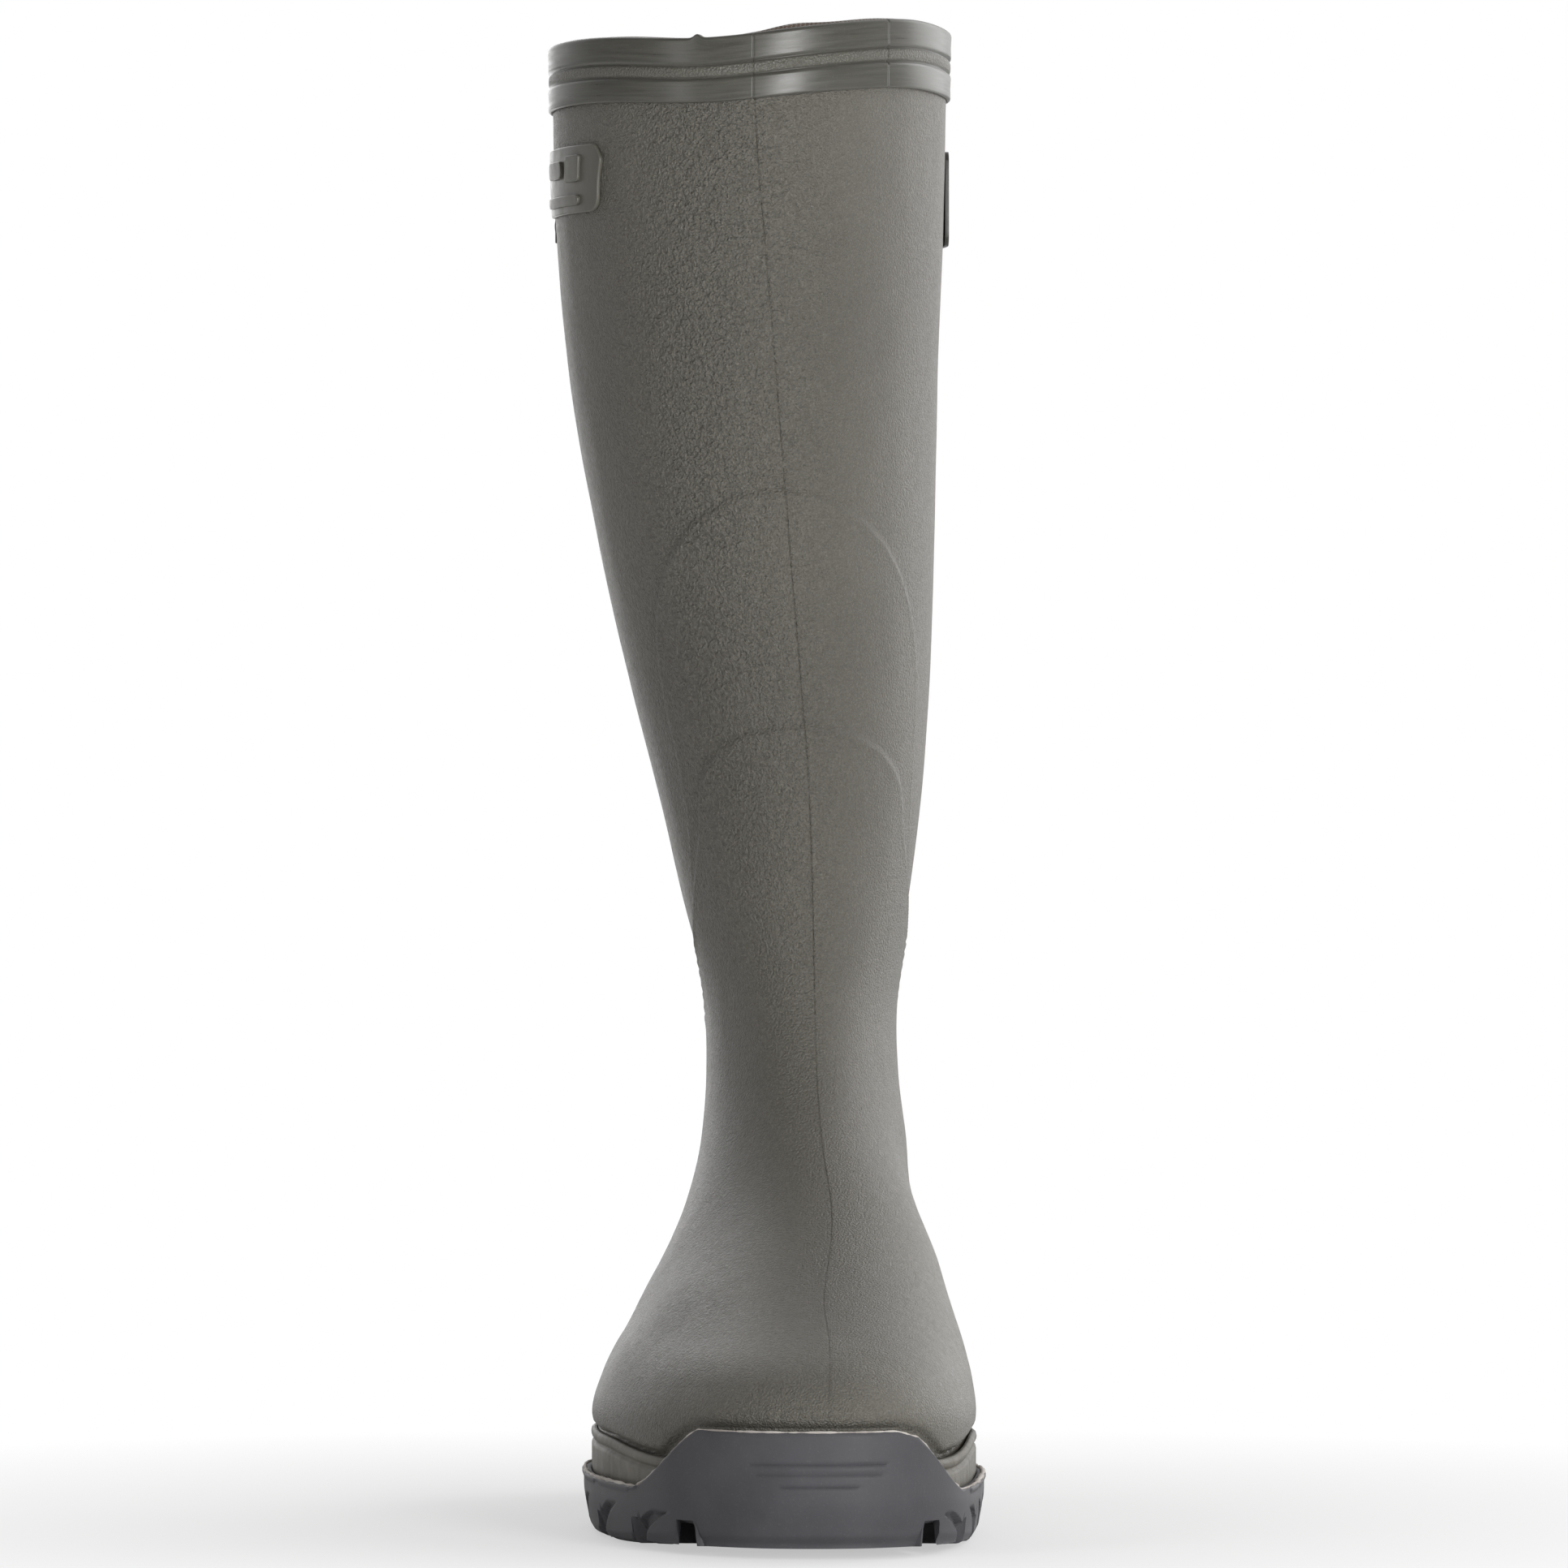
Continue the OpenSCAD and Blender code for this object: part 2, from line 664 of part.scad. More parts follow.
// A bar between two points on one level.
module level_bar(p, q, width, height, z) {
    d = q - p;
    translate([p[0], p[1], z - height / 2]) rotate(atan2(d[1], d[0]))
        translate([0, -width / 2, 0]) cube([norm(d), width, height]);
}

module buckle_chape() {
    notch = 8;
    color(dark_rubber) difference() {
        union() {
            strip(hinge_a + 1.2, outer_pad[1] - 3, frame_h - 0.6, chape_t, function(a) chape_out, 20);
            translate([hinge_xy[0], hinge_xy[1], strap_z])
                cylinder(r = knuckle_r, h = frame_h - 0.6, center = true, $fn = 48);
        }
        translate([hinge_xy[0], hinge_xy[1], strap_z])
            cylinder(r = pin_r + 0.05, h = 40, center = true, $fn = 48);
        on_wall(hinge_a, -2) linear_extrude(14)
            square([2 * (knuckle_r + 2.4), notch], center = true);
        rivets_at(outer_rivet_a) cylinder(r = rivet_r + 0.05, h = 40, center = true, $fn = 32);
    }
}

module buckle_frame() {
    side_z = (frame_h + frame_bar) / 2;
    color(metal) {
        translate([hinge_xy[0], hinge_xy[1], strap_z])
            cylinder(r = pin_r, h = frame_h + frame_bar, center = true, $fn = 48);
        translate([bar_xy[0], bar_xy[1], strap_z])
            cylinder(r = bar_r, h = frame_h + frame_bar, center = true, $fn = 48);
        for (side = [-1, 1]) {
            level_bar(hinge_xy, bar_xy, frame_bar, frame_bar, strap_z + side * side_z);
            for (p = [hinge_xy, bar_xy])
                translate([p[0], p[1], strap_z + side * side_z])
                    cylinder(r = frame_bar / 2 + 0.2, h = frame_bar, center = true, $fn = 48);
        }
    }
}

module buckle_prong() {
    ring_h = 6;
    arm = 2.2;
    tip = wall(bar_a - 1.2, bar_out + bar_r + arm / 2 + 0.6);
    start = hinge_xy + 1.3 * wall_dir(hinge_a);
    color(metal) difference() {
        union() {
            translate([hinge_xy[0], hinge_xy[1], strap_z])
                cylinder(r = knuckle_r - 0.1, h = ring_h, center = true, $fn = 48);
            level_bar(start, tip, arm - 0.4, arm, strap_z);
        }
        translate([hinge_xy[0], hinge_xy[1], strap_z])
            cylinder(r = pin_r + 0.05, h = 40, center = true, $fn = 48);
    }
}

module strap_keeper() {
    wide = degrees_for(7, keeper_a) / 2;
    inside_h = frame_h + 0.4;
    wall_t = 1.1;
    low = 0.55;
    high = tail_out + strap_t + 0.5;
    color(dark_rubber) difference() {
        strip(keeper_a - wide, keeper_a + wide, inside_h + 2 * wall_t, high + wall_t - low, function(a) low, 6);
        strip(keeper_a - wide - 2, keeper_a + wide + 2, inside_h, high - low - wall_t, function(a) low + wall_t, 6);
    }
}

// ---------- badge ----------

badge = [272, 313];
badge_z = 389.4;
badge_h = 19.8;
badge_out = 0.4;
badge_t = 1.2;

module badge_plate() {
    middle = (badge[0] + badge[1]) / 2;
    width = norm(wall(badge[1], 0) - wall(badge[0], 0));
    color(rubber) intersection() {
        translate([0, 0, badge_z - strap_z])
            strip(badge[0], badge[1], badge_h, badge_t, function(a) badge_out);
        on_wall(middle, -20, badge_z) linear_extrude(40) rounded(width, badge_h, 4);
    }
}

// Blank raised shapes on the badge: an oval, a panel and a row of bars.
module badge_relief() {
    middle = (badge[0] + badge[1]) / 2;
    bars = 6;
    color(rubber) intersection() {
        translate([0, 0, badge_z - strap_z])
            strip(badge[0] + 2, badge[1] - 2, badge_h - 3, 0.6, function(a) badge_out + badge_t + 0.02);
        on_wall(middle, -20, badge_z) linear_extrude(40) {
            for (k = [0:bars - 1])
                translate([(k - (bars - 1) / 2) * 5.6, -5.4]) square([3.6, 2.6], center = true);
            translate([11, 3]) square([8, 6.5], center = true);
            translate([-5, 3]) rounded(15, 5, 2.4);
        }
    }
}

outsole();
midsole();
shank();
insole_board();
footbed_foam();
footbed_cover();
foxing_strip();
outer_shell();
long_shin_ply();
short_shin_ply();
toe_stiffener();
heel_counter();
neoprene_sock();
lining();
top_binding();
collar_tape();
rear_gusset();
badge_plate();
badge_relief();
inner_strap_pad();
outer_strap_pad();
strap_rivets();
calf_strap();
buckle_chape();
chape_rivets();
buckle_frame();
buckle_prong();
strap_keeper();
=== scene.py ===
"""Looks of a tall insulated rubber boot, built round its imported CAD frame."""

import math

import bmesh
import bpy
import numpy as np
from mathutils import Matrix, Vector


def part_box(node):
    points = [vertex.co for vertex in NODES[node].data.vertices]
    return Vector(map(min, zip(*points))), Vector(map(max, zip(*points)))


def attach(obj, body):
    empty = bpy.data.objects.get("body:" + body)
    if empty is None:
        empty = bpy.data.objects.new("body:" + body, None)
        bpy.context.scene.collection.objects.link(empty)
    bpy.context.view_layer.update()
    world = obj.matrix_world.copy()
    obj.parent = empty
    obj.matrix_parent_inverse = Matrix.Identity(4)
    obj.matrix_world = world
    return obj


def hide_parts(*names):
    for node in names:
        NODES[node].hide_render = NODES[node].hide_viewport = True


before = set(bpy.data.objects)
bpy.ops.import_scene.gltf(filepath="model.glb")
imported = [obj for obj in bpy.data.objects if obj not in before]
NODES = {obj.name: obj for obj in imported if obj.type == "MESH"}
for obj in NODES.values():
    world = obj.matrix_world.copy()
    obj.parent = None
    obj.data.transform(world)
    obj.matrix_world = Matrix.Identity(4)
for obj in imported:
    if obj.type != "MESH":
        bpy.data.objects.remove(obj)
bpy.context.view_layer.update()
MM = 0.001

# ---------- the last
# Millimetres, in the CAD's frame: toe towards -Y, inner side of the foot +X, ground at 0.

RIM_Z = 430.0
RIM_RISE = 2.2
RIM_LIFT = 1.6
RIM_DIP = 3.4
RIM_SWELL = 1.6
SLIT_Z = 318.0
SLIT_ANGLE = 11.0
HEEL_RISE = 10.0
TOE_SPRING = 3.5
TOE_SWING = 8.0
SHELL_T = 1.9
LAYER_GAP = 0.45
PLY_T = 0.85
SOCK_T = 4.0
LINING_T = 1.1
STIFFENER_T = 0.7
SOCK_GAP = 0.6
LINING_GAP = 0.75
GUSSET_D = SHELL_T + LAYER_GAP + 0.25
INSIDE_D = SHELL_T + LAYER_GAP + STIFFENER_T + SOCK_GAP + SOCK_T + LINING_GAP + LINING_T

# Height, front, back, half width at the ball, half width at the heel, centre at the heel,
# centre at the ball, squareness of the outline.
STATIONS = np.array([
    [16, -215.0, 66.0, 49.0, 28.5, 0.0, 0.0, 2.45],
    [24, -219.5, 70.0, 52.4, 32.0, 0.0, 0.0, 2.45],
    [34, -222.5, 72.5, 54.0, 34.0, 0.0, 0.4, 2.45],
    [43, -218.0, 72.0, 52.3, 33.8, 0.3, 1.4, 2.40],
    [50, -208.0, 71.0, 50.2, 33.4, 0.8, 2.4, 2.35],
    [57, -191.0, 69.5, 47.6, 32.8, 1.4, 3.8, 2.30],
    [66, -167.0, 67.0, 44.8, 31.8, 2.4, 5.0, 2.25],
    [78, -138.0, 63.5, 40.8, 30.4, 3.8, 7.2, 2.20],
    [92, -110.5, 60.5, 35.4, 29.4, 5.2, 7.8, 2.15],
    [108, -88.0, 58.0, 29.4, 28.2, 5.9, 6.4, 2.10],
    [128, -70.0, 57.0, 26.6, 26.6, 5.4, 5.4, 2.05],
    [150, -60.5, 58.5, 27.3, 27.3, 4.9, 4.9, 2.0],
    [178, -57.0, 62.0, 33.4, 33.4, 3.6, 3.6, 2.0],
    [210, -57.0, 66.0, 39.2, 39.2, 1.8, 1.8, 2.0],
    [245, -59.0, 70.5, 44.8, 44.8, -1.4, -1.4, 2.0],
    [285, -62.5, 74.0, 49.8, 49.8, -5.3, -5.3, 2.0],
    [330, -66.0, 76.0, 54.2, 54.2, -8.9, -8.9, 2.0],
    [380, -68.5, 76.0, 57.4, 57.4, -10.2, -10.2, 2.0],
    [RIM_Z, -69.5, 75.5, 58.4, 58.4, -10.2, -10.2, 2.0],
])
LAST = len(STATIONS) - 1


def smooth(t):
    t = np.clip(t, 0, 1)
    return t * t * (3 - 2 * t)


def sign_pow(v, e):
    return np.sign(v) * np.abs(v) ** e


def unit(v):
    return v / np.maximum(np.linalg.norm(v, axis=-1, keepdims=True), 1e-9)


def run_along(points):
    """Length from the first point to each point along a line."""
    return np.concatenate([[0], np.cumsum(np.linalg.norm(np.diff(points, axis=0), axis=-1))])


def turns(count):
    """Angles evenly round the boot, from the front."""
    return np.linspace(0, 360, count, endpoint=False)


def station(s):
    """A station between two listed ones, on a Catmull-Rom curve through all of them."""
    s = np.asarray(s, float)
    i = np.clip(np.floor(s).astype(int), 0, LAST - 1)
    t = (s - i)[..., None]
    p1, p2 = STATIONS[i], STATIONS[i + 1]
    p0 = np.where((i == 0)[..., None], 2 * p1 - p2, STATIONS[np.maximum(i - 1, 0)])
    p3 = np.where((i == LAST - 1)[..., None], 2 * p2 - p1, STATIONS[np.minimum(i + 2, LAST)])
    m1, m2 = (p2 - p0) / 2, (p3 - p1) / 2
    return (p1 * (2 * t**3 - 3 * t**2 + 1) + m1 * (t**3 - 2 * t**2 + t)
            + p2 * (3 * t**2 - 2 * t**3) + m2 * (t**3 - t**2))


S_TABLE = np.linspace(0, LAST, 3601)
Z_TABLE = station(S_TABLE)[:, 0]


def station_at(z):
    return np.interp(z, Z_TABLE, S_TABLE)


def heel_line(y):
    """Rise of the upper edge of the sole towards the heel."""
    return HEEL_RISE * smooth((y + 75) / 90)


def lift(y):
    """Rise of the underside: the heel is raised and the toe springs up."""
    return heel_line(y) + TOE_SPRING * smooth((-150 - y) / 75)


def rim_wave(a):
    """Rise of the rim above its plane: it dips in front and swells just inside the front."""
    turn = a - 360 * np.round(a / 360)
    return (RIM_LIFT - RIM_DIP * np.exp(-((turn + 12) / 28) ** 2)
            + RIM_SWELL * np.exp(-((turn - 52) / 22) ** 2))


def surface(s, a):
    """Points on the outer surface. Angle 0 is the front, 90 the inner side, 180 the back."""
    s, degrees = np.broadcast_arrays(np.asarray(s, float), np.asarray(a, float))
    a = np.radians(degrees)
    z, front, back, ball, heel, cx, bx, square = np.moveaxis(station(s), -1, 0)
    c, sn = np.cos(a), np.sin(a)
    foot = ball - heel
    e = np.where(c < 0, 2 / (square + 0.045 * foot), 2 / square)
    y = (front + back) / 2 - (back - front) / 2 * sign_pow(c, e)
    medial = sn > 0
    to_heel = np.where(medial, smooth((y + 130) / 140), smooth((y + 95) / 110))
    arch = np.where(medial, 0.16, 0.03) * foot * np.exp(-((y + 40) / 38) ** 2)
    half = ball + (heel - ball) * to_heel - arch
    middle = (cx + (bx - cx) * smooth((-20 - y) / 80)
              + TOE_SWING * smooth((85 - z) / 35) * smooth((-120 - y) / 110))
    x = middle + half * sign_pow(sn, e)
    wave = (RIM_RISE * (x - cx) / heel + rim_wave(degrees)) * smooth((z - 360) / 70)
    return np.stack([x, y, z + lift(y) * smooth((95 - z) / 75) + wave], -1)


def normal(s, a):
    s = np.asarray(s, float)
    up = surface(np.minimum(s + 0.02, LAST), a) - surface(np.maximum(s - 0.02, 0), a)
    along = surface(s, np.asarray(a) + 0.5) - surface(s, np.asarray(a) - 0.5)
    return unit(np.cross(along, up))


def layer(s, a, depth):
    """Points at a depth below the outer surface, along its normal."""
    return surface(s, a) - np.asarray(depth)[..., None] * normal(s, a)


def waves(p, size, seed):
    """Smooth, repeatable unevenness between about -1 and 1, with a wavelength in mm."""
    rng = np.random.default_rng(seed)
    total = np.zeros(p.shape[:-1])
    for _ in range(6):
        direction = unit(rng.normal(size=3)) / size * rng.uniform(0.6, 1.4)
        total += np.sin(2 * math.pi * (p @ direction) + rng.uniform(0, 2 * math.pi))
    return total / 3


# ---------- meshes


def link(name, mesh):
    """A new object in the scene."""
    obj = bpy.data.objects.new(name, mesh)
    bpy.context.scene.collection.objects.link(obj)
    return obj


def new_object(name, verts, faces, material):
    """A mesh object from points in millimetres."""
    mesh = bpy.data.meshes.new(name)
    mesh.from_pydata(np.asarray(verts, float).reshape(-1, 3) * MM, [], faces)
    mesh.validate()
    mesh.materials.append(material)
    mesh.shade_smooth()
    return link(name, mesh)


def settle(obj, body, slot, *nodes):
    """Hands a piece to its body and hides the CAD nodes that it stands for. The slot argument is not used.
    """
    if nodes:
        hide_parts(*nodes)
    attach(obj, body)


def grid_faces(rows, cols, wrap, start=0, flip=False):
    """Quads over a grid of rows by cols points, wrapping round the columns if asked."""
    i, j = np.meshgrid(np.arange(rows - 1), np.arange(cols if wrap else cols - 1), indexing="ij")
    k = (j + 1) % cols
    quads = np.stack([i * cols + j, i * cols + k, (i + 1) * cols + k, (i + 1) * cols + j], -1)
    quads = quads.reshape(-1, 4) + start
    return quads[:, ::-1] if flip else quads


def polygons(quads):
    """Faces without repeated corners, from quads that may be pinched at an end."""
    faces = [list(dict.fromkeys(quad)) for quad in quads.tolist()]
    return [face for face in faces if len(face) > 2]


def rungs(first, n):
    """Quads straight across a ring of n points, which are numbered from first."""
    k = np.arange(n // 2)
    return first + np.stack([k, k + 1, n - k - 1, (n - k) % n], -1)


def tube(name, points, material, loop=True):
    """A skin over points[ring, k]. Its last ring meets the first, or both ends are capped."""
    rings, n = points.shape[:2]
    last = (rings - 1) * n
    faces = grid_faces(rings, n, True).tolist()
    if loop:
        faces += [[last + j, last + (j + 1) % n, (j + 1) % n, j] for j in range(n)]
    else:
        faces += [list(range(n))[::-1], list(range(last, last + n))]
    obj = new_object(name, points, faces, material)
    outward(obj)
    return obj


def outward(obj, merge=0.0):
    """Turns every face outwards, after joining points that lie together."""
    bm = bmesh.new()
    bm.from_mesh(obj.data)
    if merge:
        bmesh.ops.remove_doubles(bm, verts=bm.verts, dist=merge * MM)
    bmesh.ops.recalc_face_normals(bm, faces=bm.faces)
    bm.to_mesh(obj.data)
    bm.free()


def points_of(obj):
    """The object's own points in millimetres."""
    co = np.empty(len(obj.data.vertices) * 3)
    obj.data.vertices.foreach_get("co", co)
    return co.reshape(-1, 3) / MM


def cloth_map(obj, values):
    """Keeps each point's place on its cloth, in mm, for the weave of its material."""
    data = obj.data.attributes.new("cloth", "FLOAT_VECTOR", "POINT")
    data.data.foreach_set("vector", np.asarray(values, np.float32).ravel())


def smooth_by_angle(obj, degrees=35):
    obj.data.shade_smooth()
    obj.data.set_sharp_from_angle(angle=math.radians(degrees))


FLAT_ANGLE = math.radians(2)
SHARP_ANGLE = math.radians(28)


def rounded_copy(node, name, width, material):
    """The CAD node's shape with its edges rounded, as a new piece."""
    mesh = NODES[node].data.copy()
    obj = link(name, mesh)
    bm = bmesh.new()
    bm.from_mesh(mesh)
    bmesh.ops.remove_doubles(bm, verts=bm.verts, dist=0.00001)
    bmesh.ops.dissolve_limit(bm, angle_limit=FLAT_ANGLE, verts=bm.verts, edges=bm.edges)
    sharp = [e for e in bm.edges if e.is_manifold and e.calc_face_angle(0) > SHARP_ANGLE]
    bmesh.ops.bevel(bm, geom=sharp, offset=width * MM, segments=3, profile=0.5,
                    affect="EDGES", clamp_overlap=True)
    bm.to_mesh(mesh)
    bm.free()
    mesh.materials.clear()
    mesh.materials.append(material)
    smooth_by_angle(obj)
    return obj


# ---------- materials


class Nodes:
    """Short calls for building the node tree of one material or world."""

    def __init__(self, owner):
        owner.use_nodes = True
        self.owner = owner
        self.tree = owner.node_tree
        self.shader = self.tree.nodes.get("Principled BSDF")

    def add(self, kind, sockets=(), **settings):
        """A node with its settings, whose input sockets take values or other nodes' outputs."""
        node = self.tree.nodes.new("ShaderNode" + kind)
        for key, value in settings.items():
            setattr(node, key, value)
        for key, value in dict(sockets).items():
            self.put(node.inputs[key], value)
        return node

    def put(self, socket, value):
        if isinstance(value, bpy.types.NodeSocket):
            self.tree.links.new(value, socket)
        else:
            socket.default_value = value

    def mapped(self, vector, scale):
        return self.add("Mapping", {"Vector": vector, "Scale": scale}).outputs["Vector"]

    def place(self, scale=1.0):
        """Object coordinates in millimetres, times a scale."""
        return self.mapped(self.add("TexCoord").outputs["Object"], (1000 * scale,) * 3)

    def cloth(self, scale=(1, 1, 1)):
        """The piece's own cloth coordinates in millimetres, times a scale."""
        return self.mapped(self.add("Attribute", attribute_name="cloth").outputs["Vector"], scale)

    def noise(self, vector, scale, detail=3.0, roughness=0.5):
        sockets = {"Vector": vector, "Scale": scale, "Detail": detail, "Roughness": roughness}
        return self.add("TexNoise", sockets).outputs["Fac"]

    def cells(self, vector, scale, feature="F1"):
        sockets = {"Vector": vector, "Scale": scale}
        return self.add("TexVoronoi", sockets, feature=feature).outputs["Distance"]

    def math(self, operation, a, b=0.5, c=0.0):
        return self.add("Math", {0: a, 1: b, 2: c}, operation=operation).outputs[0]

    def wave(self, value, pitch):
        """A sine between -1 and 1 that repeats after each pitch of the value."""
        return self.math("SINE", self.math("MULTIPLY", value, 2 * math.pi / pitch))

    def vector(self, operation, sockets):
        return self.add("VectorMath", sockets, operation=operation).outputs

    def span(self, value, from_low, from_high, low, high):
        sockets = {"Value": value, "From Min": from_low, "From Max": from_high,
                   "To Min": low, "To Max": high}
        return self.add("MapRange", sockets).outputs["Result"]

    def mix(self, factor, a, b):
        return self.add("Mix", {0: factor, 6: a, 7: b}, data_type="RGBA").outputs[2]

    def fade(self, value, low, high, a, b):
        """Colour a below the low value, b above the high one and a blend between them."""
        return self.mix(self.span(value, low, high, 0, 1), a, b)

    def axes(self, vector):
        return self.add("SeparateXYZ", {0: vector}).outputs

    def bump(self, height, distance, strength=1.0, under=None):
        sockets = {"Height": height, "Distance": distance * MM, "Strength": strength}
        if under is not None:
            sockets["Normal"] = under
        return self.add("Bump", sockets).outputs["Normal"]

    def finish(self, colour, roughness, normal=None, **extra):
        sockets = {"Base Color": colour, "Roughness": roughness}
        if normal is not None:
            sockets["Normal"] = normal
        sockets.update((key.replace("_", " "), value) for key, value in extra.items())
        for key, value in sockets.items():
            self.put(self.shader.inputs[key], value)
        return self.owner


def new_material(name):
    return Nodes(bpy.data.materials.new(name))


def srgb(r, g, b):
    """A colour given in display values 0 to 255, as linear light."""
    return tuple((v / 255 / 12.92 if v / 255 <= 0.04045 else ((v / 255 + 0.055) / 1.055) ** 2.4)
                 for v in (r, g, b)) + (1.0,)


def grained_rubber():
    """Upper rubber: a leather-like pebble grain, coarse on the outer side and fine elsewhere, with painted
    shade in the grain's valleys and a painted highlight on the pebble tops.
    """
    n = new_material("upper_rubber")
    place = n.place()
    x, y, z = n.axes(place)[:3]
    push = n.add("TexNoise", {"Vector": place, "Scale": 0.45}).outputs["Color"]
    warp = n.vector("ADD", {0: place, 1: n.vector("SCALE", {0: push, "Scale": 0.7})[0]})[0]
    pebbles = n.cells(warp, 1.0, "SMOOTH_F1")
    fine = n.cells(place, 1.8, "F1")
    dust = n.noise(place, 1.9, 3.0, 0.7)
    patch = n.noise(place, 0.03, 2.0)
    outer = n.math("MULTIPLY", n.span(x, -60.0, -30.0, 0.35, 1.0), n.span(x, -20.0, 16.0, 1.0, 0.25))
    leg = n.span(z, 120.0, 240.0, 0.55, 1.0)
    coarse = n.math("MULTIPLY", n.math("MULTIPLY", outer, leg), n.span(patch, 0.35, 0.65, 0.8, 1.0))
    normal = n.bump(n.math("SUBTRACT", 1.0, pebbles), 0.9, coarse)
    normal = n.bump(n.math("SUBTRACT", 1.0, fine), 0.42, n.span(x, 10.0, 45.0, 0.9, 0.5), normal)
    normal = n.bump(dust, 0.3, 0.8, normal)
    cloudy = n.noise(place, 0.012, 3.0)
    base = n.fade(cloudy, 0.35, 0.65, srgb(101, 98, 90), srgb(113, 110, 101))
    # Painted shade: a dark tone mixed into the low borders between the pebbles.
    painted_valley_shade = n.math("MULTIPLY", n.span(pebbles, 0.35, 0.65, 0.0, 0.5), coarse)
    # Painted highlight: a pale tone mixed into the raised centres of the pebbles.
    top = n.math("MULTIPLY", n.span(pebbles, 0.12, 0.3, 0.3, 0.0), coarse)
    base = n.mix(top, base, srgb(142, 138, 128))
    base = n.mix(painted_valley_shade, base, srgb(70, 68, 61))
    base = n.mix(n.span(dust, 0.4, 0.62, 0.5, 0.0), base, srgb(76, 73, 66))
    base = n.mix(n.span(dust, 0.6, 0.75, 0.0, 0.45), base, srgb(150, 146, 136))
    rough = n.span(n.noise(place, 0.6, 3.0), 0.3, 0.7, 0.38, 0.5)
    return n.finish(base, rough, normal, Specular_IOR_Level=0.55)


def binding_rubber():
    """Glossy binding with drawn-out streaks, and a pebbled ribbon between its two grooves."""
    n = new_material("binding_rubber")
    x, y, _ = n.axes(n.cloth())[:3]
    streaks = n.noise(n.cloth((0.05, 0.9, 1.0)), 1.0, 4.0, 0.6)
    pebbles = n.cells(n.place(), 1.5, "F1")
    dust = n.noise(n.place(), 2.2, 3.0, 0.65)
    from_ribbon = n.math("ABSOLUTE", n.math("SUBTRACT", y, RIBBON_MIDDLE))
    ribbon = n.span(from_ribbon, 1.3, 1.6, 1.0, 0.0)
    base = n.fade(streaks, 0.35, 0.65, srgb(72, 71, 65), srgb(86, 85, 78))
    base = n.mix(n.math("MULTIPLY", ribbon, 0.6), base, srgb(104, 102, 93))
    base = n.mix(n.span(dust, 0.6, 0.8, 0, 0.3), base, srgb(140, 137, 128))
    rough = n.math("ADD", n.span(streaks, 0.3, 0.7, 0.27, 0.4), n.math("MULTIPLY", ribbon, 0.12))
    normal = n.bump(streaks, 0.12, 0.4)
    normal = n.bump(pebbles, 0.3, ribbon, normal)
    normal = n.bump(dust, 0.02, 0.7, normal)
    return n.finish(base, rough, normal, Specular_IOR_Level=0.55)


def smooth_rubber(name, dark, light, low, high, grain=0.04):
    """Moulded rubber with a slight sheen, faint flow marks and dust."""
    n = new_material(name)
    place = n.place()
    cloudy = n.noise(place, 0.05, 4.0)
    dust = n.noise(place, 2.4, 3.0, 0.65)
    base = n.fade(cloudy, 0.35, 0.65, dark, light)
    base = n.mix(n.span(dust, 0.55, 0.8, 0, 0.35), base, light)
    rough = n.span(n.noise(place, 0.25, 4.0), 0.3, 0.7, low, high)
    normal = n.bump(n.noise(place, 0.12, 2.0), 0.5, 0.25)
    normal = n.bump(dust, grain, 0.8, normal)
    return n.finish(base, rough, normal, Specular_IOR_Level=0.5)


def sole_rubber():
    """Outsole rubber: slate grey and matt, with a dusty bloom and a moulded skin."""
    n = new_material("sole_rubber")
    place = n.place()
    cloudy = n.noise(place, 0.05, 5.0, 0.6)
    dust = n.noise(place, 1.6, 4.0, 0.7)
    base = n.fade(cloudy, 0.3, 0.7, srgb(68, 67, 71), srgb(80, 79, 83))
    base = n.mix(n.span(dust, 0.58, 0.78, 0, 0.5), base, srgb(106, 103, 102))
    rough = n.span(cloudy, 0.3, 0.7, 0.52, 0.66)
    normal = n.bump(dust, 0.06, 0.8)
    return n.finish(base, rough, normal, Specular_IOR_Level=0.45)


def knit(name, dark, light, pitch, depth):
    """Brushed jersey: rows of small loops under a short fuzzy nap."""
    n = new_material(name)
    x, y, _ = n.axes(n.cloth())[:3]
    wale = n.wave(x, pitch)
    course = n.math("SINE", n.math("MULTIPLY_ADD", y, 2 * math.pi / (pitch * 0.8),
                                   n.math("MULTIPLY", wale, 0.9)))
    loops = n.math("MULTIPLY", n.math("ADD", wale, 1.2), n.math("ADD", course, 1.2))
    place = n.place()
    fuzz = n.noise(place, 1.5, 5.0, 0.75)
    clumps = n.noise(place, 0.16, 4.0, 0.6)
    base = n.fade(clumps, 0.3, 0.7, dark, light)
    # Painted shade: the colour darkens in the low gaps between the loops.
    base = n.mix(n.span(loops, 0.0, 4.0, 0.35, 0.0), base, dark)
    normal = n.bump(loops, depth, 0.6)
    normal = n.bump(fuzz, depth * 1.3, 0.8, normal)
    normal = n.bump(clumps, 0.8, 0.5, normal)
    return n.finish(base, 0.95, normal, Sheen_Weight=0.5, Sheen_Roughness=0.6,
                    Specular_IOR_Level=0.15)


def woven(name, dark, light, pitch, depth):
    """A plain weave of fine threads."""
    n = new_material(name)
    x, y, _ = n.axes(n.cloth())[:3]
    threads = n.math("MULTIPLY", n.wave(x, pitch), n.wave(y, pitch))
    fuzz = n.noise(n.place(), 1.8, 4.0, 0.7)
    # Painted highlight and shade: the colour follows the thread bump, light on the raised crossings and dark
    # in the dips.
    base = n.fade(threads, -1, 1, dark, light)
    base = n.mix(n.span(fuzz, 0.4, 0.7, 0, 0.3), base, dark)
    normal = n.bump(threads, depth, 0.8)
    normal = n.bump(fuzz, depth * 0.6, 0.6, normal)
    return n.finish(base, 0.9, normal, Sheen_Weight=0.3, Specular_IOR_Level=0.2)


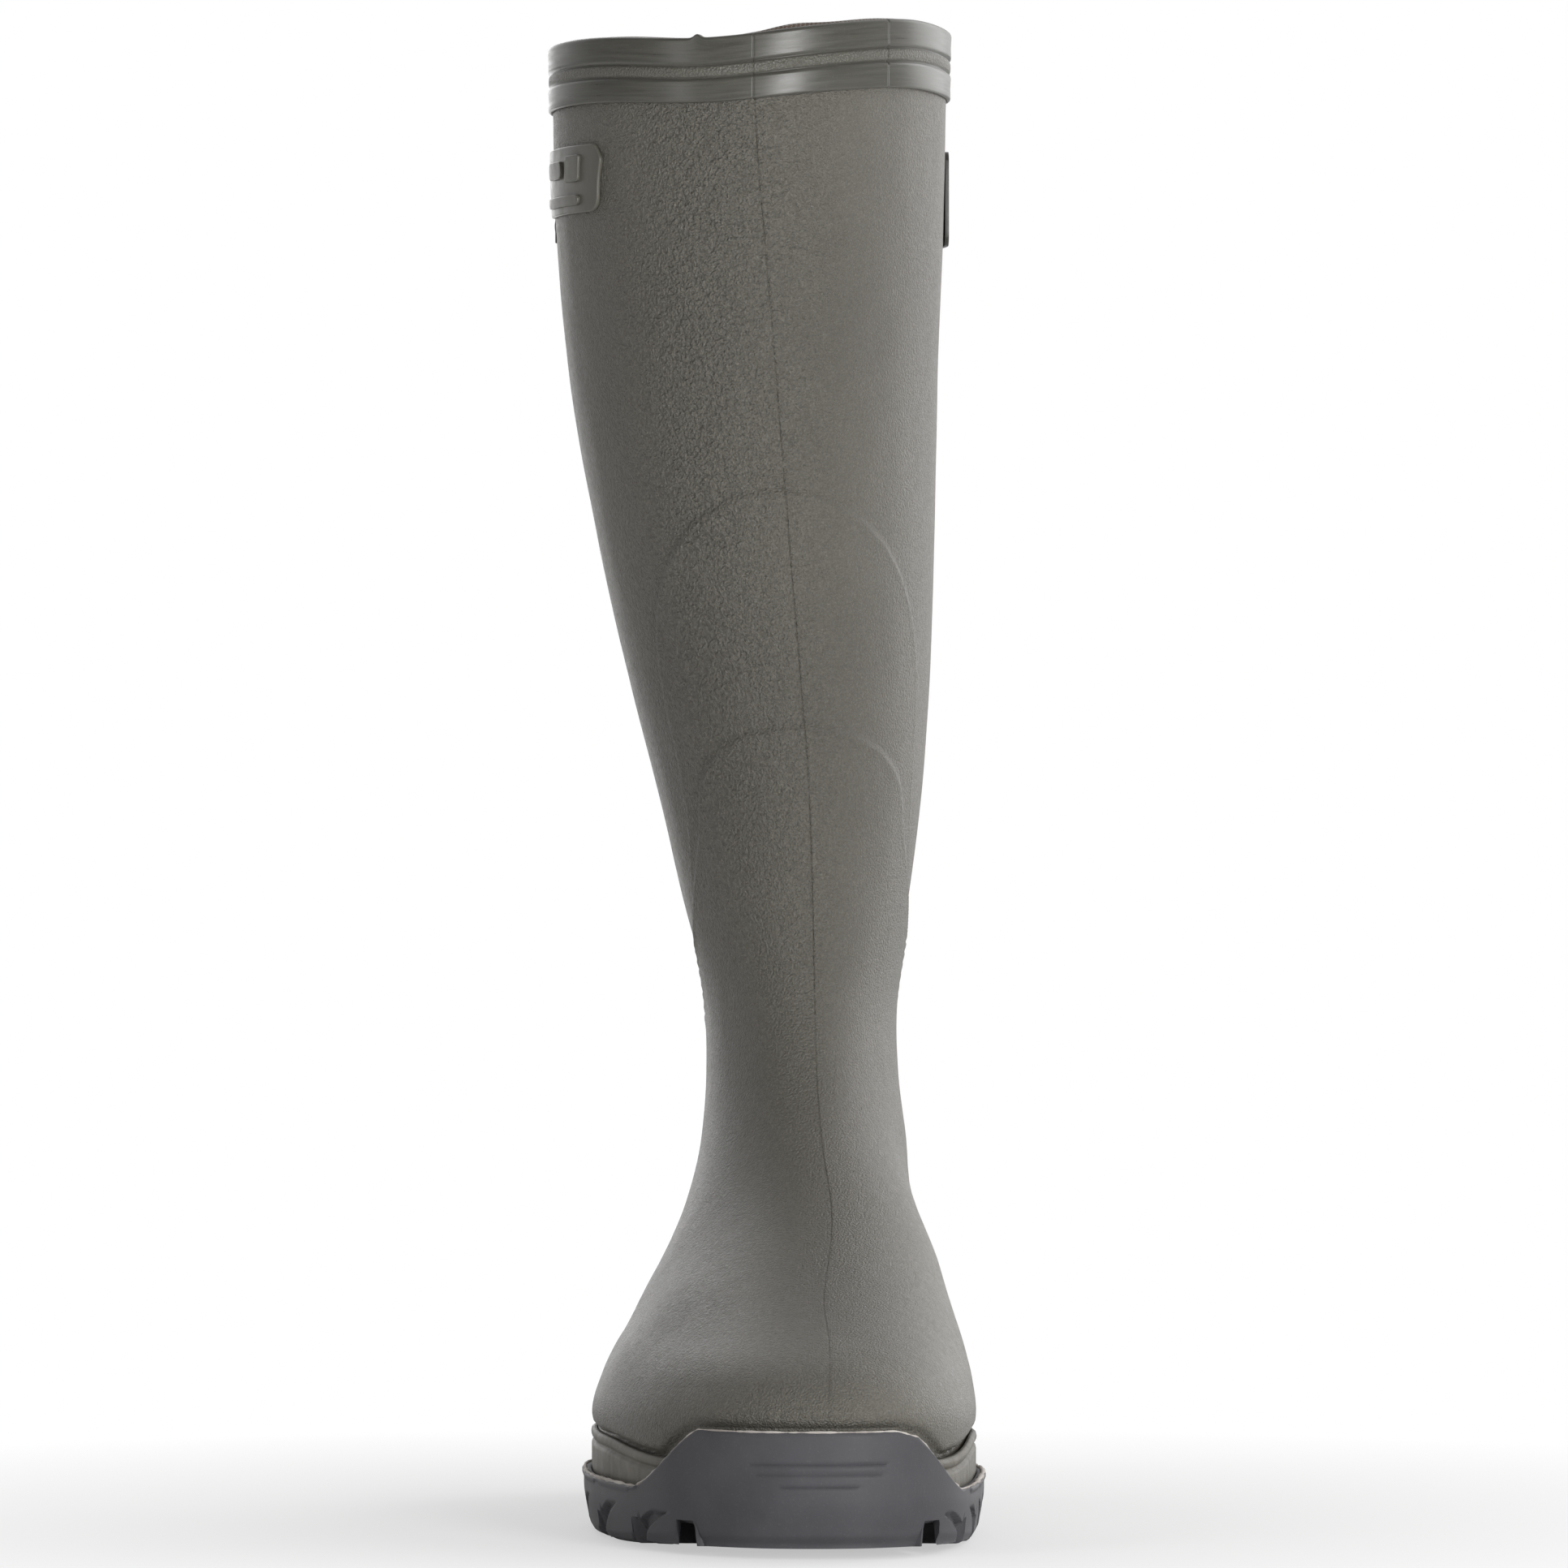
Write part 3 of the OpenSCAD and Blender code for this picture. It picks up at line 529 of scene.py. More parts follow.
def ribbed_cloth():
    """Stretch gusset cloth with fine vertical ribs."""
    n = new_material("gusset_cloth")
    x, y, _ = n.axes(n.cloth())[:3]
    rib = n.math("ABSOLUTE", n.wave(x, 2.2))
    cross = n.wave(y, 0.7)
    fuzz = n.noise(n.place(), 2.2, 3.0, 0.7)
    # Painted shade and highlight: dark in the furrows between the ribs and light on their crests, following
    # the rib bump.
    base = n.fade(rib, 0, 1, srgb(30, 30, 27), srgb(58, 57, 51))
    base = n.mix(n.span(fuzz, 0.5, 0.8, 0, 0.3), base, srgb(78, 76, 68))
    normal = n.bump(rib, 0.3, 0.9)
    normal = n.bump(cross, 0.06, 0.7, normal)
    return n.finish(base, 0.85, normal, Sheen_Weight=0.3, Specular_IOR_Level=0.25)


def speckled(name, dark, light, size, rough, depth, metallic=0.0):
    """Foam, board, canvas or bare metal: mottled colour and a matching bump."""
    n = new_material(name)
    place = n.place()
    spots = n.noise(place, size, 5.0, 0.7)
    base = n.fade(spots, 0.35, 0.65, dark, light)
    normal = n.bump(spots, depth, 0.7)
    return n.finish(base, n.span(spots, 0.3, 0.7, rough, rough + 0.12), normal, Metallic=metallic)


def buckle_metal():
    """Gunmetal coating, rubbed bright in fine scratches."""
    n = new_material("buckle_metal")
    place = n.place()
    scratch = n.noise(place, 4.0, 6.0, 0.7)
    blotch = n.noise(place, 0.4, 3.0)
    base = n.mix(n.span(scratch, 0.5, 0.75, 0, 0.6), srgb(132, 132, 128), srgb(190, 189, 184))
    rough = n.span(blotch, 0.3, 0.7, 0.3, 0.44)
    normal = n.bump(scratch, 0.02, 0.6)
    return n.finish(base, rough, normal, Metallic=0.9)


def plain_studio(name, colour):
    """Floor of the studio: pale near the boot, and fading to plain white further away."""
    n = new_material(name)
    place = n.place()
    shade = n.mix(n.noise(place, 0.004, 2.0), colour, tuple(c * 0.985 for c in colour[:3]) + (1.0,))
    from_boot = n.vector("SUBTRACT", {0: place, 1: (0.0, -75.0, 0.0)})[0]
    reach = n.vector("LENGTH", {0: from_boot})["Value"]
    far = n.span(reach, 120.0, 420.0, 0.5, 1.0)
    seen = n.math("MULTIPLY", far, n.add("LightPath").outputs["Is Camera Ray"])
    n.finish(shade, 0.9, Specular_IOR_Level=0.0)
    white = n.add("Emission").outputs[0]
    mixer = n.add("MixShader", {0: seen, 1: n.shader.outputs[0], 2: white})
    n.put(n.tree.nodes["Material Output"].inputs["Surface"], mixer.outputs[0])
    return n.owner


RIBBON_MIDDLE = 9.4
UPPER = grained_rubber()
BINDING = binding_rubber()
BADGE = smooth_rubber("badge_rubber", srgb(88, 86, 79), srgb(98, 96, 88), 0.3, 0.4)
STRAP = smooth_rubber("strap_rubber", srgb(48, 48, 45), srgb(58, 57, 53), 0.34, 0.46)
FOXING = smooth_rubber("foxing_rubber", srgb(90, 86, 77), srgb(106, 102, 92), 0.48, 0.6, 0.16)
FLASH = smooth_rubber("flash_rubber", srgb(150, 141, 134), srgb(206, 200, 194), 0.6, 0.75, 0.1)
SOLE = sole_rubber()
METAL = buckle_metal()
KNIT = knit("knit_lining", srgb(92, 76, 63), srgb(124, 105, 88), 1.5, 0.3)
FELT = speckled("footbed_felt", srgb(104, 92, 78), srgb(140, 126, 108), 1.1, 0.88, 0.5)
TAPE = woven("collar_tape_cloth", srgb(94, 74, 62), srgb(136, 112, 98), 0.9, 0.12)
GUSSET = ribbed_cloth()
NEOPRENE = speckled("neoprene_foam", srgb(34, 35, 37), srgb(48, 49, 52), 1.5, 0.75, 0.2)
FOAM = speckled("midsole_foam", srgb(176, 170, 156), srgb(196, 190, 176), 2.0, 0.8, 0.2)
DARK_FOAM = speckled("footbed_foam", srgb(58, 60, 58), srgb(76, 78, 74), 2.0, 0.8, 0.25)
BOARD = speckled("fibre_board", srgb(142, 118, 84), srgb(172, 146, 108), 1.2, 0.7, 0.15)
CANVAS = speckled("stiffener_canvas", srgb(178, 170, 152), srgb(202, 196, 180), 1.4, 0.8, 0.15)
STEEL = speckled("spring_steel", srgb(142, 144, 148), srgb(166, 168, 172), 0.8, 0.3, 0.02, 1.0)
FLOOR = plain_studio("studio_floor", (0.93, 0.93, 0.93, 1.0))

# ---------- upper

PLY_EDGE = 1.1


def slit_half(z, low):
    """Half angle of the slit at the back, which starts rounded at its lower end."""
    t = np.clip((z - low) / (RIM_Z - low), 0, 1)
    return SLIT_ANGLE * (0.18 * np.sqrt(t) + 0.82 * smooth(t))


def seam_angle(z):
    """Where the moulding line runs down the front."""
    return 1.3 + 6.2 * smooth((RIM_Z - z) / 120) - 5.5 * smooth((92 - z) / 45)


def signed_distance(field, points):
    """Roughly how far each grid point lies inside field = 0, in mm along the surface."""
    du = np.gradient(field, axis=0) / np.maximum(
        np.linalg.norm(np.gradient(points, axis=0), axis=-1), 1e-6)
    dv = np.gradient(field, axis=1) / np.maximum(
        np.linalg.norm(np.gradient(points, axis=1), axis=-1), 1e-6)
    return field / np.maximum(np.hypot(du, dv), 1e-6)


def long_ply_field(z, a):
    """Above zero inside the long ply: an arch on the shin that widens over the ankle."""
    half = 57 + 60 * smooth((215 - z) / 130)
    return 1 - ((a - 6) / half) ** 2 - (np.maximum(0, z - 237) / 60) ** 2


def short_ply_field(z, a):
    """Above zero inside the short ply: a lower arch that becomes the vamp."""
    half = 48 + 45 * smooth((210 - z) / 75)
    return 1 - ((a - 6) / half) ** 2 - (np.maximum(0, z - 204) / 25) ** 2


def path_rows(low, high, step, block=1):
    """Station numbers spaced evenly along the front of the boot, in whole blocks of rows."""
    s = np.linspace(low, high, 4000)
    run = run_along(surface(s, 0))
    count = int(run[-1] / step / block) * block + 1
    return np.interp(np.linspace(0, run[-1], count), run, s)


def upper_columns():
    """Angles from the moulding line: close at the line, 1 degree in front, wider behind."""
    near = np.array([0.14, 0.32, 0.65, 1.2])
    front = np.linspace(1.2, 75, 73)[1:]
    back = np.linspace(75, 180, 49)[1:]
    half = np.concatenate([near, front, back])
    return np.concatenate([-half[::-1], [0], half])


def upper_rise(z, angle, d, base):
    """Height of the rubber above the bare shell: plies, moulding line and unevenness."""
    rise = np.zeros_like(z)
    for field in (long_ply_field, short_ply_field):
        inside = signed_distance(field(z, angle), base)
        rise += PLY_T * smooth((inside + PLY_EDGE) / (2 * PLY_EDGE))
        rise += 0.14 * np.exp(-((inside - PLY_EDGE) / 1.1) ** 2)
    seam = d * math.radians(50)
    sharp = 0.35 + 0.65 * smooth((z - 120) / 60)
    rise += -0.24 * sharp * np.exp(-((seam / 0.3) ** 2))
    rise += 0.16 * (seam > 0) * np.exp(-np.abs(seam) / 6)
    rise += 0.2 * waves(base, 70, 3) + 0.05 * waves(base, 16, 4)
    edge = base[..., 2] - np.maximum(foxing_top(base[..., 1]), wall_top(base[..., 0], base[..., 1]))
    return rise * smooth((edge + 4) / 8) - 1.1 * np.exp(-((edge - 0.6) / 1.0) ** 2)


def upper():
    """Shell and both plies as one rubber skin with raised steps and a moulding line.

    The inner face has one point for each BLOCK by BLOCK points of the outer face."""
    block = 4
    d = upper_columns()
    s = path_rows(0.1, LAST, 1.0, block)[:, None]
    z = station(s)[..., 0]
    slit_row = int(np.argmax(z[:, 0] > SLIT_Z) / block + 1) * block
    opening = slit_half(z, z[slit_row, 0])
    a = d * (1 - opening / 180) + seam_angle(z) * (1 - np.abs(d) / 180)
    z = z + 0 * a
    base = surface(s, a)
    n = normal(s, a)
    outer = base + n * upper_rise(z, (a + 180) % 360 - 180, d, base)[..., None]
    inner = (base - n * SHELL_T)[::block, ::block]
    out_ids = np.arange(a.size).reshape(a.shape)
    in_ids = a.size + np.arange(inner.size // 3).reshape(inner.shape[:2])
    open_rows = slit_row // block
    faces = grid_faces(*out_ids.shape, False).tolist()
    faces += grid_faces(*in_ids.shape, False, a.size, True).tolist()
    for outside, inside in ((out_ids[0], in_ids[0]), (out_ids[-1], in_ids[-1]),
                            (out_ids[slit_row:, 0], in_ids[open_rows:, 0]),
                            (out_ids[slit_row:, -1], in_ids[open_rows:, -1])):
        for k in range(len(inside) - 1):
            along = outside[k * block:(k + 1) * block + 1]
            faces.append([*along.tolist(), int(inside[k + 1]), int(inside[k])])
    obj = new_object("boot_upper", np.concatenate([outer.reshape(-1, 3), inner.reshape(-1, 3)]),
                     faces, UPPER)
    outward(obj, 0.001)
    smooth_by_angle(obj, 50)
    settle(obj, "boot", "upper_rubber", "outer_shell", "long_shin_ply", "short_shin_ply")


def slit_edge(z):
    return slit_half(np.asarray(z, float), SLIT_Z + 3)


def gusset():
    """Stretch cloth behind the slit: a loose sheet, held at its edges and blown outwards."""
    s = path_rows(station_at(SLIT_Z - 7), LAST - 0.06, 1.6)[:, None]
    z = station(s)[..., 0]
    t = np.linspace(-1, 1, 33)[None, :]
    half = slit_edge(z) + 6.5
    a = 180 + t * half
    base = layer(s, a, np.full(a.shape, GUSSET_D + 0.35))
    n = normal(s, a)
    obj = new_object("rear_gusset_cloth", base, grid_faces(*a.shape, False).tolist(), GUSSET)
    hang_cloth(obj, (np.abs(t) > 0.93) | (z < SLIT_Z - 2) | (z > RIM_Z - 6))
    bulge = np.sum((points_of(obj).reshape(base.shape) - base) * n, -1)
    open_half = slit_edge(z) - 1.6
    room = smooth((open_half - np.abs(t) * half) / 2.2)
    fold = 0.35 * np.cos(t * half * 0.9) * room + 0.15 * waves(base, 11, 21) * room
    bulge = np.clip(bulge * 0.5 + fold, 0, 0.15 + 2.1 * room)
    front = base + n * bulge[..., None]
    back = front - n * 0.6
    count = a.size
    rows, cols = a.shape
    edge = np.concatenate([np.arange(cols), np.arange(1, rows) * cols + cols - 1,
                           (rows - 1) * cols + np.arange(cols - 1)[::-1],
                           np.arange(1, rows - 1)[::-1] * cols])
    after = np.roll(edge, -1)
    faces = np.vstack([grid_faces(rows, cols, False), grid_faces(rows, cols, False, count, True),
                       np.stack([edge, count + edge, count + after, after], -1)])
    bpy.data.objects.remove(obj)
    obj = new_object("rear_gusset_cloth", np.concatenate([front, back]), faces.tolist(), GUSSET)
    flat = np.stack([t * half * 1.05 + 0 * z, z + 0 * t, 0 * a], -1)
    cloth_map(obj, np.concatenate([flat, flat]))
    outward(obj)
    settle(obj, "boot", "gusset_cloth", "rear_gusset")


CLOTH_FRAMES = 20


def hang_cloth(obj, pinned):
    """Lets a pinned sheet billow under a light pressure, and keeps the result."""
    group = obj.vertex_groups.new(name="pinned")
    group.add([int(v) for v in np.flatnonzero(pinned.ravel())], 1.0, "REPLACE")
    cloth = obj.modifiers.new("cloth", "CLOTH")
    values = {"vertex_group_mass": "pinned", "use_pressure": True, "uniform_pressure_force": 3,
              "shrink_min": -0.08, "tension_stiffness": 12, "bending_stiffness": 0.4, "quality": 6}
    for key, value in values.items():
        setattr(cloth.settings, key, value)
    cloth.settings.effector_weights.gravity = 0
    cloth.point_cache.frame_end = CLOTH_FRAMES
    scene = bpy.context.scene
    for frame_number in range(1, CLOTH_FRAMES + 1):
        scene.frame_set(frame_number)
    graph = bpy.context.evaluated_depsgraph_get()
    mesh = bpy.data.meshes.new_from_object(obj.evaluated_get(graph))
    obj.modifiers.clear()
    obj.vertex_groups.clear()
    obj.data = mesh
    scene.frame_set(1)


# ---------- rim

BAND_H = 18.6
NUB_ANGLE = 345.4
JOINT_ANGLE = 403.0
BAND_SEAM_ANGLE = 361.3


def rim_sweep(name, profile, material, angles, uneven=0.0):
    """Sweeps a profile of (height below the rim, distance out) round the leg, open at the slit."""
    profile = np.array(profile)
    s = station_at(RIM_Z - np.maximum(profile[:, 0], 0))[None, :]
    lap = 0.5 * np.exp(-((angles - JOINT_ANGLE) / 0.2) ** 2)
    lap += 0.3 * np.exp(-((angles - BAND_SEAM_ANGLE) / 0.2) ** 2)
    out = profile[:, 1][None, :] - lap[:, None] * (profile[:, 1] > 0.4)[None, :]
    p = layer(s, angles[:, None], -out)
    nub = 1.4 * np.exp(-((angles - NUB_ANGLE) / 1.3) ** 2)
    p[..., 2] += np.maximum(-profile[:, 0], 0)[None, :]
    p[..., 2] += nub[:, None] * np.exp(-(profile[:, 0] / 1.2) ** 2)[None, :]
    outwards = normal(np.full(1, LAST - 1.0), angles)
    p += outwards[:, None] * (uneven * waves(p[:, :1], 22, 8))[..., None]
    obj = tube(name, p, material, loop=False)
    flat = np.zeros(p.shape)
    flat[..., 0] = np.radians(angles)[:, None] * 60
    flat[..., 1] = profile[:, 0][None, :]
    cloth_map(obj, flat)
    return obj


def round_corner(cx, cy, r, start, end, steps=5):
    t = np.radians(np.linspace(start, end, steps))
    return [(cx - r * math.sin(v), cy + r * math.cos(v)) for v in t]


def top_band():
    """Glossy binding over the rim, with two grooves and a ribbon between them."""
    half = float(slit_edge(RIM_Z))
    even = np.linspace(180 + half, 540 - half, 420)
    close = np.linspace(-1.2, 1.2, 17)
    marks = [angle + close for angle in (JOINT_ANGLE, BAND_SEAM_ANGLE, NUB_ANGLE)]
    angles = np.unique(np.concatenate([even, *marks]).round(3))
    out = 1.45
    groove = [(2.4, -0.1), (2.1, -0.8), (1.8, -0.85), (1.5, -0.35), (0.9, -0.15)]
    profile = (
        [(3.0, -SHELL_T - 0.15), (0.0, -SHELL_T - 0.15)]
        + round_corner(0.4, -SHELL_T + 0.9, 1.05, 180, 100, 4)
        + round_corner(0.5, out - 1.2, 1.2, 80, 0, 5)
        + [(3.8, out - 0.12), (6.3, out)]
        + [(RIBBON_MIDDLE - run, out + rise) for run, rise in groove]
        + [(RIBBON_MIDDLE, out - 0.1)]
        + [(RIBBON_MIDDLE + run, out + rise) for run, rise in groove[::-1]]
        + [(12.5, out + 0.05), (15.0, out - 0.1)]
        + round_corner(BAND_H - 0.7, out - 0.7, 0.7, 0, -90, 4)
        + [(BAND_H, 0.3), (BAND_H - 0.6, 0.12), (1.5, 0.12), (1.5, -SHELL_T - 0.02)]
    )
    obj = rim_sweep("rim_binding", profile, BINDING, angles, 0.08)
    settle(obj, "boot", "binding_rubber", "top_binding")


def lining_piece():
    """Knitted lining: a sock that rolls out over the rim and is soft and uneven inside."""
    rows = path_rows(1.12, LAST - 0.05, 3.2)
    a = turns(160)
    s, angle = np.meshgrid(rows, a, indexing="ij")
    base = surface(s, angle)
    soft = 0.7 * waves(base, 26, 11) + 0.35 * waves(base, 9, 12)
    keep = smooth((RIM_Z - base[..., 2]) / 14)
    inner = layer(s, angle, INSIDE_D + (0.35 + 0.5 * soft) * keep)
    outer = layer(s, angle, np.full(s.shape, INSIDE_D - LINING_T + 0.05))
    lip_depth = np.array([INSIDE_D - 0.4, INSIDE_D - 1.6, INSIDE_D - 3.4, SHELL_T + 1.6,
                          SHELL_T + 0.7, SHELL_T + 0.35])
    lip_up = np.array([0.3, 0.8, 1.0, 0.9, 0.5, 0.0])
    rim_s = np.full((len(lip_up), len(a)), float(LAST))
    rim_a = np.tile(a, (len(lip_up), 1))
    top = layer(rim_s, rim_a, lip_depth[:, None])
    proud = 0.9 * np.exp(-((a - 14) / 9) ** 2)
    top[..., 2] += lip_up[:, None] + proud * smooth(lip_up / 0.8)[:, None]
    under = layer(rim_s, rim_a, np.clip(lip_depth[::-1, None], SHELL_T + 0.5, INSIDE_D - LINING_T))
    under[..., 2] += np.minimum(lip_up[::-1] - 0.9, -0.1)[:, None]
    skin = np.concatenate([inner, top, under, outer[::-1]])
    run = run_along(skin[:, 0])
    n = len(a)
    total = len(skin)
    ends = [rungs(0, n), rungs((total - 1) * n, n)[:, ::-1]]
    faces = polygons(np.vstack([grid_faces(total, n, True), *ends]))
    obj = new_object("knit_lining", skin, faces, KNIT)
    around = np.broadcast_to(np.radians(a) * 62, (total, n))
    cloth_map(obj, np.stack([around, np.broadcast_to(run[:, None], (total, n)),
                             np.zeros((total, n))], -1))
    outward(obj)
    settle(obj, "boot", "knit", "lining")


def collar_tape():
    """Woven tape inside the collar, with a row of stitches near each edge."""
    a = turns(240)
    depth = INSIDE_D + 0.9
    drop, into = np.array([(1.5, -0.2), (1.9, 0.25), (3.0, 0.4), (9.0, 0.45), (15.5, 0.4),
                           (16.8, 0.25), (17.2, -0.2), (17.2, -0.5), (1.5, -0.5)]).T
    p = layer(station_at(RIM_Z - drop)[:, None], a[None, :], depth + into[:, None] + 0 * a[None, :])
    obj = tube("collar_tape_strip", p.transpose(1, 0, 2), TAPE)
    flat = np.zeros((len(a), len(drop), 3))
    flat[..., 0] = np.radians(a)[:, None] * 50
    flat[..., 1] = np.concatenate([drop[:-2], [20, 22]])[None, :]
    cloth_map(obj, flat)
    settle(obj, "boot", "tape", "collar_tape")
    for height in (4.2, 14.4):
        stitches(f"collar_stitches_{int(height)}", height, depth + 0.55)


def stitches(name, height, depth):
    """A ring of short thread stitches lying on the tape."""
    count = 104
    length = 0.32
    steps = 7
    sides = 6
    rows = []
    faces = []
    for k in range(count):
        angle = 360 / count * (k + np.linspace(-length, length, steps))
        bow = depth - 0.25 + 0.4 * (1 - np.linspace(-1, 1, steps) ** 2)
        s = np.full(steps, float(station_at(RIM_Z - height)))
        centre = layer(s, angle, bow)
        n = normal(s, angle)
        r = 0.32 * np.sqrt(np.maximum(1 - np.linspace(-0.97, 0.97, steps) ** 2, 0.05))
        for q in range(steps):
            turn = np.linspace(0, 2 * np.pi, sides, endpoint=False)
            rows.extend(centre[q] + r[q] * (np.cos(turn)[:, None] * n[q]
                                            + np.sin(turn)[:, None] * np.array([0, 0, 1.0])))
        start = k * steps * sides
        end = start + steps * sides
        faces.extend(grid_faces(steps, sides, True, start).tolist())
        faces.append(list(range(start, start + sides))[::-1])
        faces.append(list(range(end - sides, end)))
    obj = new_object(name, rows, faces, TAPE)
    cloth_map(obj, np.array(rows))
    outward(obj)
    settle(obj, "boot", "tape")


# ---------- sole

SOLE_STATION = 2.0
SOLE_CENTRE = np.array([0.0, -70.0])


def outline(a, grow):
    """The foot's widest outline seen from above, grown sideways, as x, y and its normal."""
    s = np.full_like(a, SOLE_STATION)
    p = surface(s, a)
    along = surface(s, a + 0.5) - surface(s, a - 0.5)
    n = unit(np.stack([along[..., 1], -along[..., 0]], -1))
    n = n * np.sign(np.sum(n * (p[..., :2] - SOLE_CENTRE), -1))[..., None]
    return p[..., :2] + n * np.asarray(grow)[..., None], n


WALL_Z = 17.0
BUMPER_Z = 34.0
FOXING_Z = 29.0
BUMPER_LEFT = -42.0
BUMPER_RIGHT = 49.5
SOLE_GROW = 4.0
HEEL_FLOOR = 5.5
OUTER_LUGS = (36.0, -218.0)
INNER_LUGS = (24.0, -212.0)


def ramp(t):
    """A straight ramp from 0 to 1 with softened ends."""
    return 0.6 * np.clip(t, 0, 1) + 0.4 * smooth(t)


def foxing_top(y):
    return FOXING_Z + heel_line(y) - 3.2 * smooth((-140 - y) / 55)


def wall_top(x, y):
    """Height of the outsole's top edge: level at the sides, raised into a bumper at the toe."""
    rise = ramp((x - BUMPER_LEFT) / 18.0) * ramp((BUMPER_RIGHT - x) / 12.5) * (y < -120)
    high = BUMPER_Z + 0.8 - 2.2 * smooth((x - 30) / 9)
    return WALL_Z + heel_line(y) + (high - WALL_Z) * rise


def rounded_step(t, width):
    return smooth(t / width + 0.5)


def ribs(value, pitch, start, gap):
    """1 on a rib and 0 in the gap between ribs that repeat along a direction."""
    cell = (value - start) % pitch
    return 1 - rounded_step(np.abs(cell - pitch / 2) - (pitch / 2 - gap / 2), 1.3)


def tread(x, y, inset):
    """Relief of the tread at the forefoot and the heel: 1 on a lug's face, 0 between lugs."""
    outer = ribs(y + 0.35 * inset, *OUTER_LUGS, 6.4)
    inner = ribs(y + 0.35 * inset, *INNER_LUGS, 4.4)
    left_notch = rounded_step(3.1 + 0.04 * inset - np.abs(x + 27.6 - 0.25 * inset), 1.2)
    right_notch = rounded_step(2.7 + 0.04 * inset - np.abs(x - 41.2 + 0.25 * inset), 1.2)
    notch = np.where(y < -185, 1 - np.maximum(left_notch, right_notch), 1)
    edge = rounded_step(19 - inset, 1.6) * np.where(x < 2 + 6 * (y < -190), outer, inner) * notch
    edge = np.where((y < -206) & (x > -24) & (x < 38), rounded_step(19 - inset, 1.6), edge)
    from_middle = np.abs(x - 4)
    middle = rounded_step(inset - 24, 1.6) * ribs(y + 0.55 * from_middle, 22.0, -200.0, 6.8)
    forefoot = np.maximum(edge, middle * rounded_step(from_middle - 1.6, 1.4))
    heel_edge = rounded_step(18 - inset, 1.6) * ribs(y + 0.25 * inset, 18.5, -2.0, 5.0)
    heel = np.maximum(heel_edge, rounded_step(inset - 22, 1.6))
    return forefoot * rounded_step(-66 - y, 3.0), heel * rounded_step(y + 1, 3.0)


def sole_bottom(x, y, inset):
    """Height of the underside: lugs on a curved forefoot, an arched waist and a heel block."""
    fore, heel = tread(x, y, inset)
    waist = 13.0 + 4.5 * np.exp(-((y + 34) / 22) ** 2)
    base = 6.4 + 1.3 * smooth((6 - inset) / 6) + 0.6 * lift(y) * (y < -100)
    base = base + (waist - base) * smooth((y + 78) / 34)
    base = base + (HEEL_FLOOR - base) * smooth((y + 6) / 5)
    face = 0.8 * lift(y) * (y < -100) + 0.9 * smooth((3 - inset) / 3) ** 2 * smooth((y + 210) / 30)
    return base + (face - base) * np.maximum(fore, heel)


def side_grooves(x, y, z):
    """Depth of the shallow grooves that run up the side wall from the gaps in the tread."""
    forward = y + (z - 3) + 0.12 * np.maximum(0, z - 3) ** 2
    outer = 1 - ribs(forward, *OUTER_LUGS, 8.5)
    inner = 1 - ribs(forward, *INNER_LUGS, 6.5)
    reach = smooth((12.0 - z) / 2.5) * (y > -206) * rounded_step(-66 - y, 3.0)
    return 2.0 * reach * np.where(x < 2, outer, inner)


def bumper_grooves(x, y, z):
    """Depth of the three faint level grooves across the toe bumper."""
    depth = 0
    for height, wide in ((25.9, 19.0), (23.2, 18.0), (19.7, 11.0)):
        across = rounded_step(wide - np.abs(x - 9.5), 3.0) * (y < -170)
        depth = depth + 0.5 * across * np.exp(-((z - height) / 0.4) ** 2)
    return depth


def sole_grow(y0):
    return SOLE_GROW + 2.0 * smooth((-150 - y0) / 70)


def bridge(ring, first, start, across, height):
    """Points and quads that close a foot-shaped ring from side to side.

    The ring runs once round from the tip of the toe, so that point k faces point n - k. Its
    own points are numbered from first and the new ones from start, and height(x, y, inset)
    gives the level of a point that lies inset from the ring."""
    n = len(ring)
    half = n // 2
    v = np.linspace(0, 1, across + 1)[1:-1]
    left = ring[1:half]
    right = ring[::-1][: half - 1]
    grid = left[:, None] + (right - left)[:, None] * v[None, :, None]
    edge = np.minimum(v, 1 - v)[None, :] * np.linalg.norm(right - left, axis=-1)[:, None]
    ends = np.minimum(np.abs(grid[..., 1] - ring[0, 1]), np.abs(grid[..., 1] - ring[half, 1]))
    grid[..., 2] = height(grid[..., 0], grid[..., 1], np.minimum(edge, ends))
    index = np.empty((half + 1, across + 1), int)
    index[0, :] = first
    index[half, :] = first + half
    index[1:half, 0] = first + np.arange(1, half)
    index[1:half, across] = first + n - np.arange(1, half)
    index[1:half, 1:across] = start + np.arange((half - 1) * (across - 1)).reshape(half - 1, -1)
    quads = np.stack([index[:-1, :-1], index[:-1, 1:], index[1:, 1:], index[1:, :-1]], -1)
    return grid.reshape(-1, 3), quads.reshape(-1, 4)


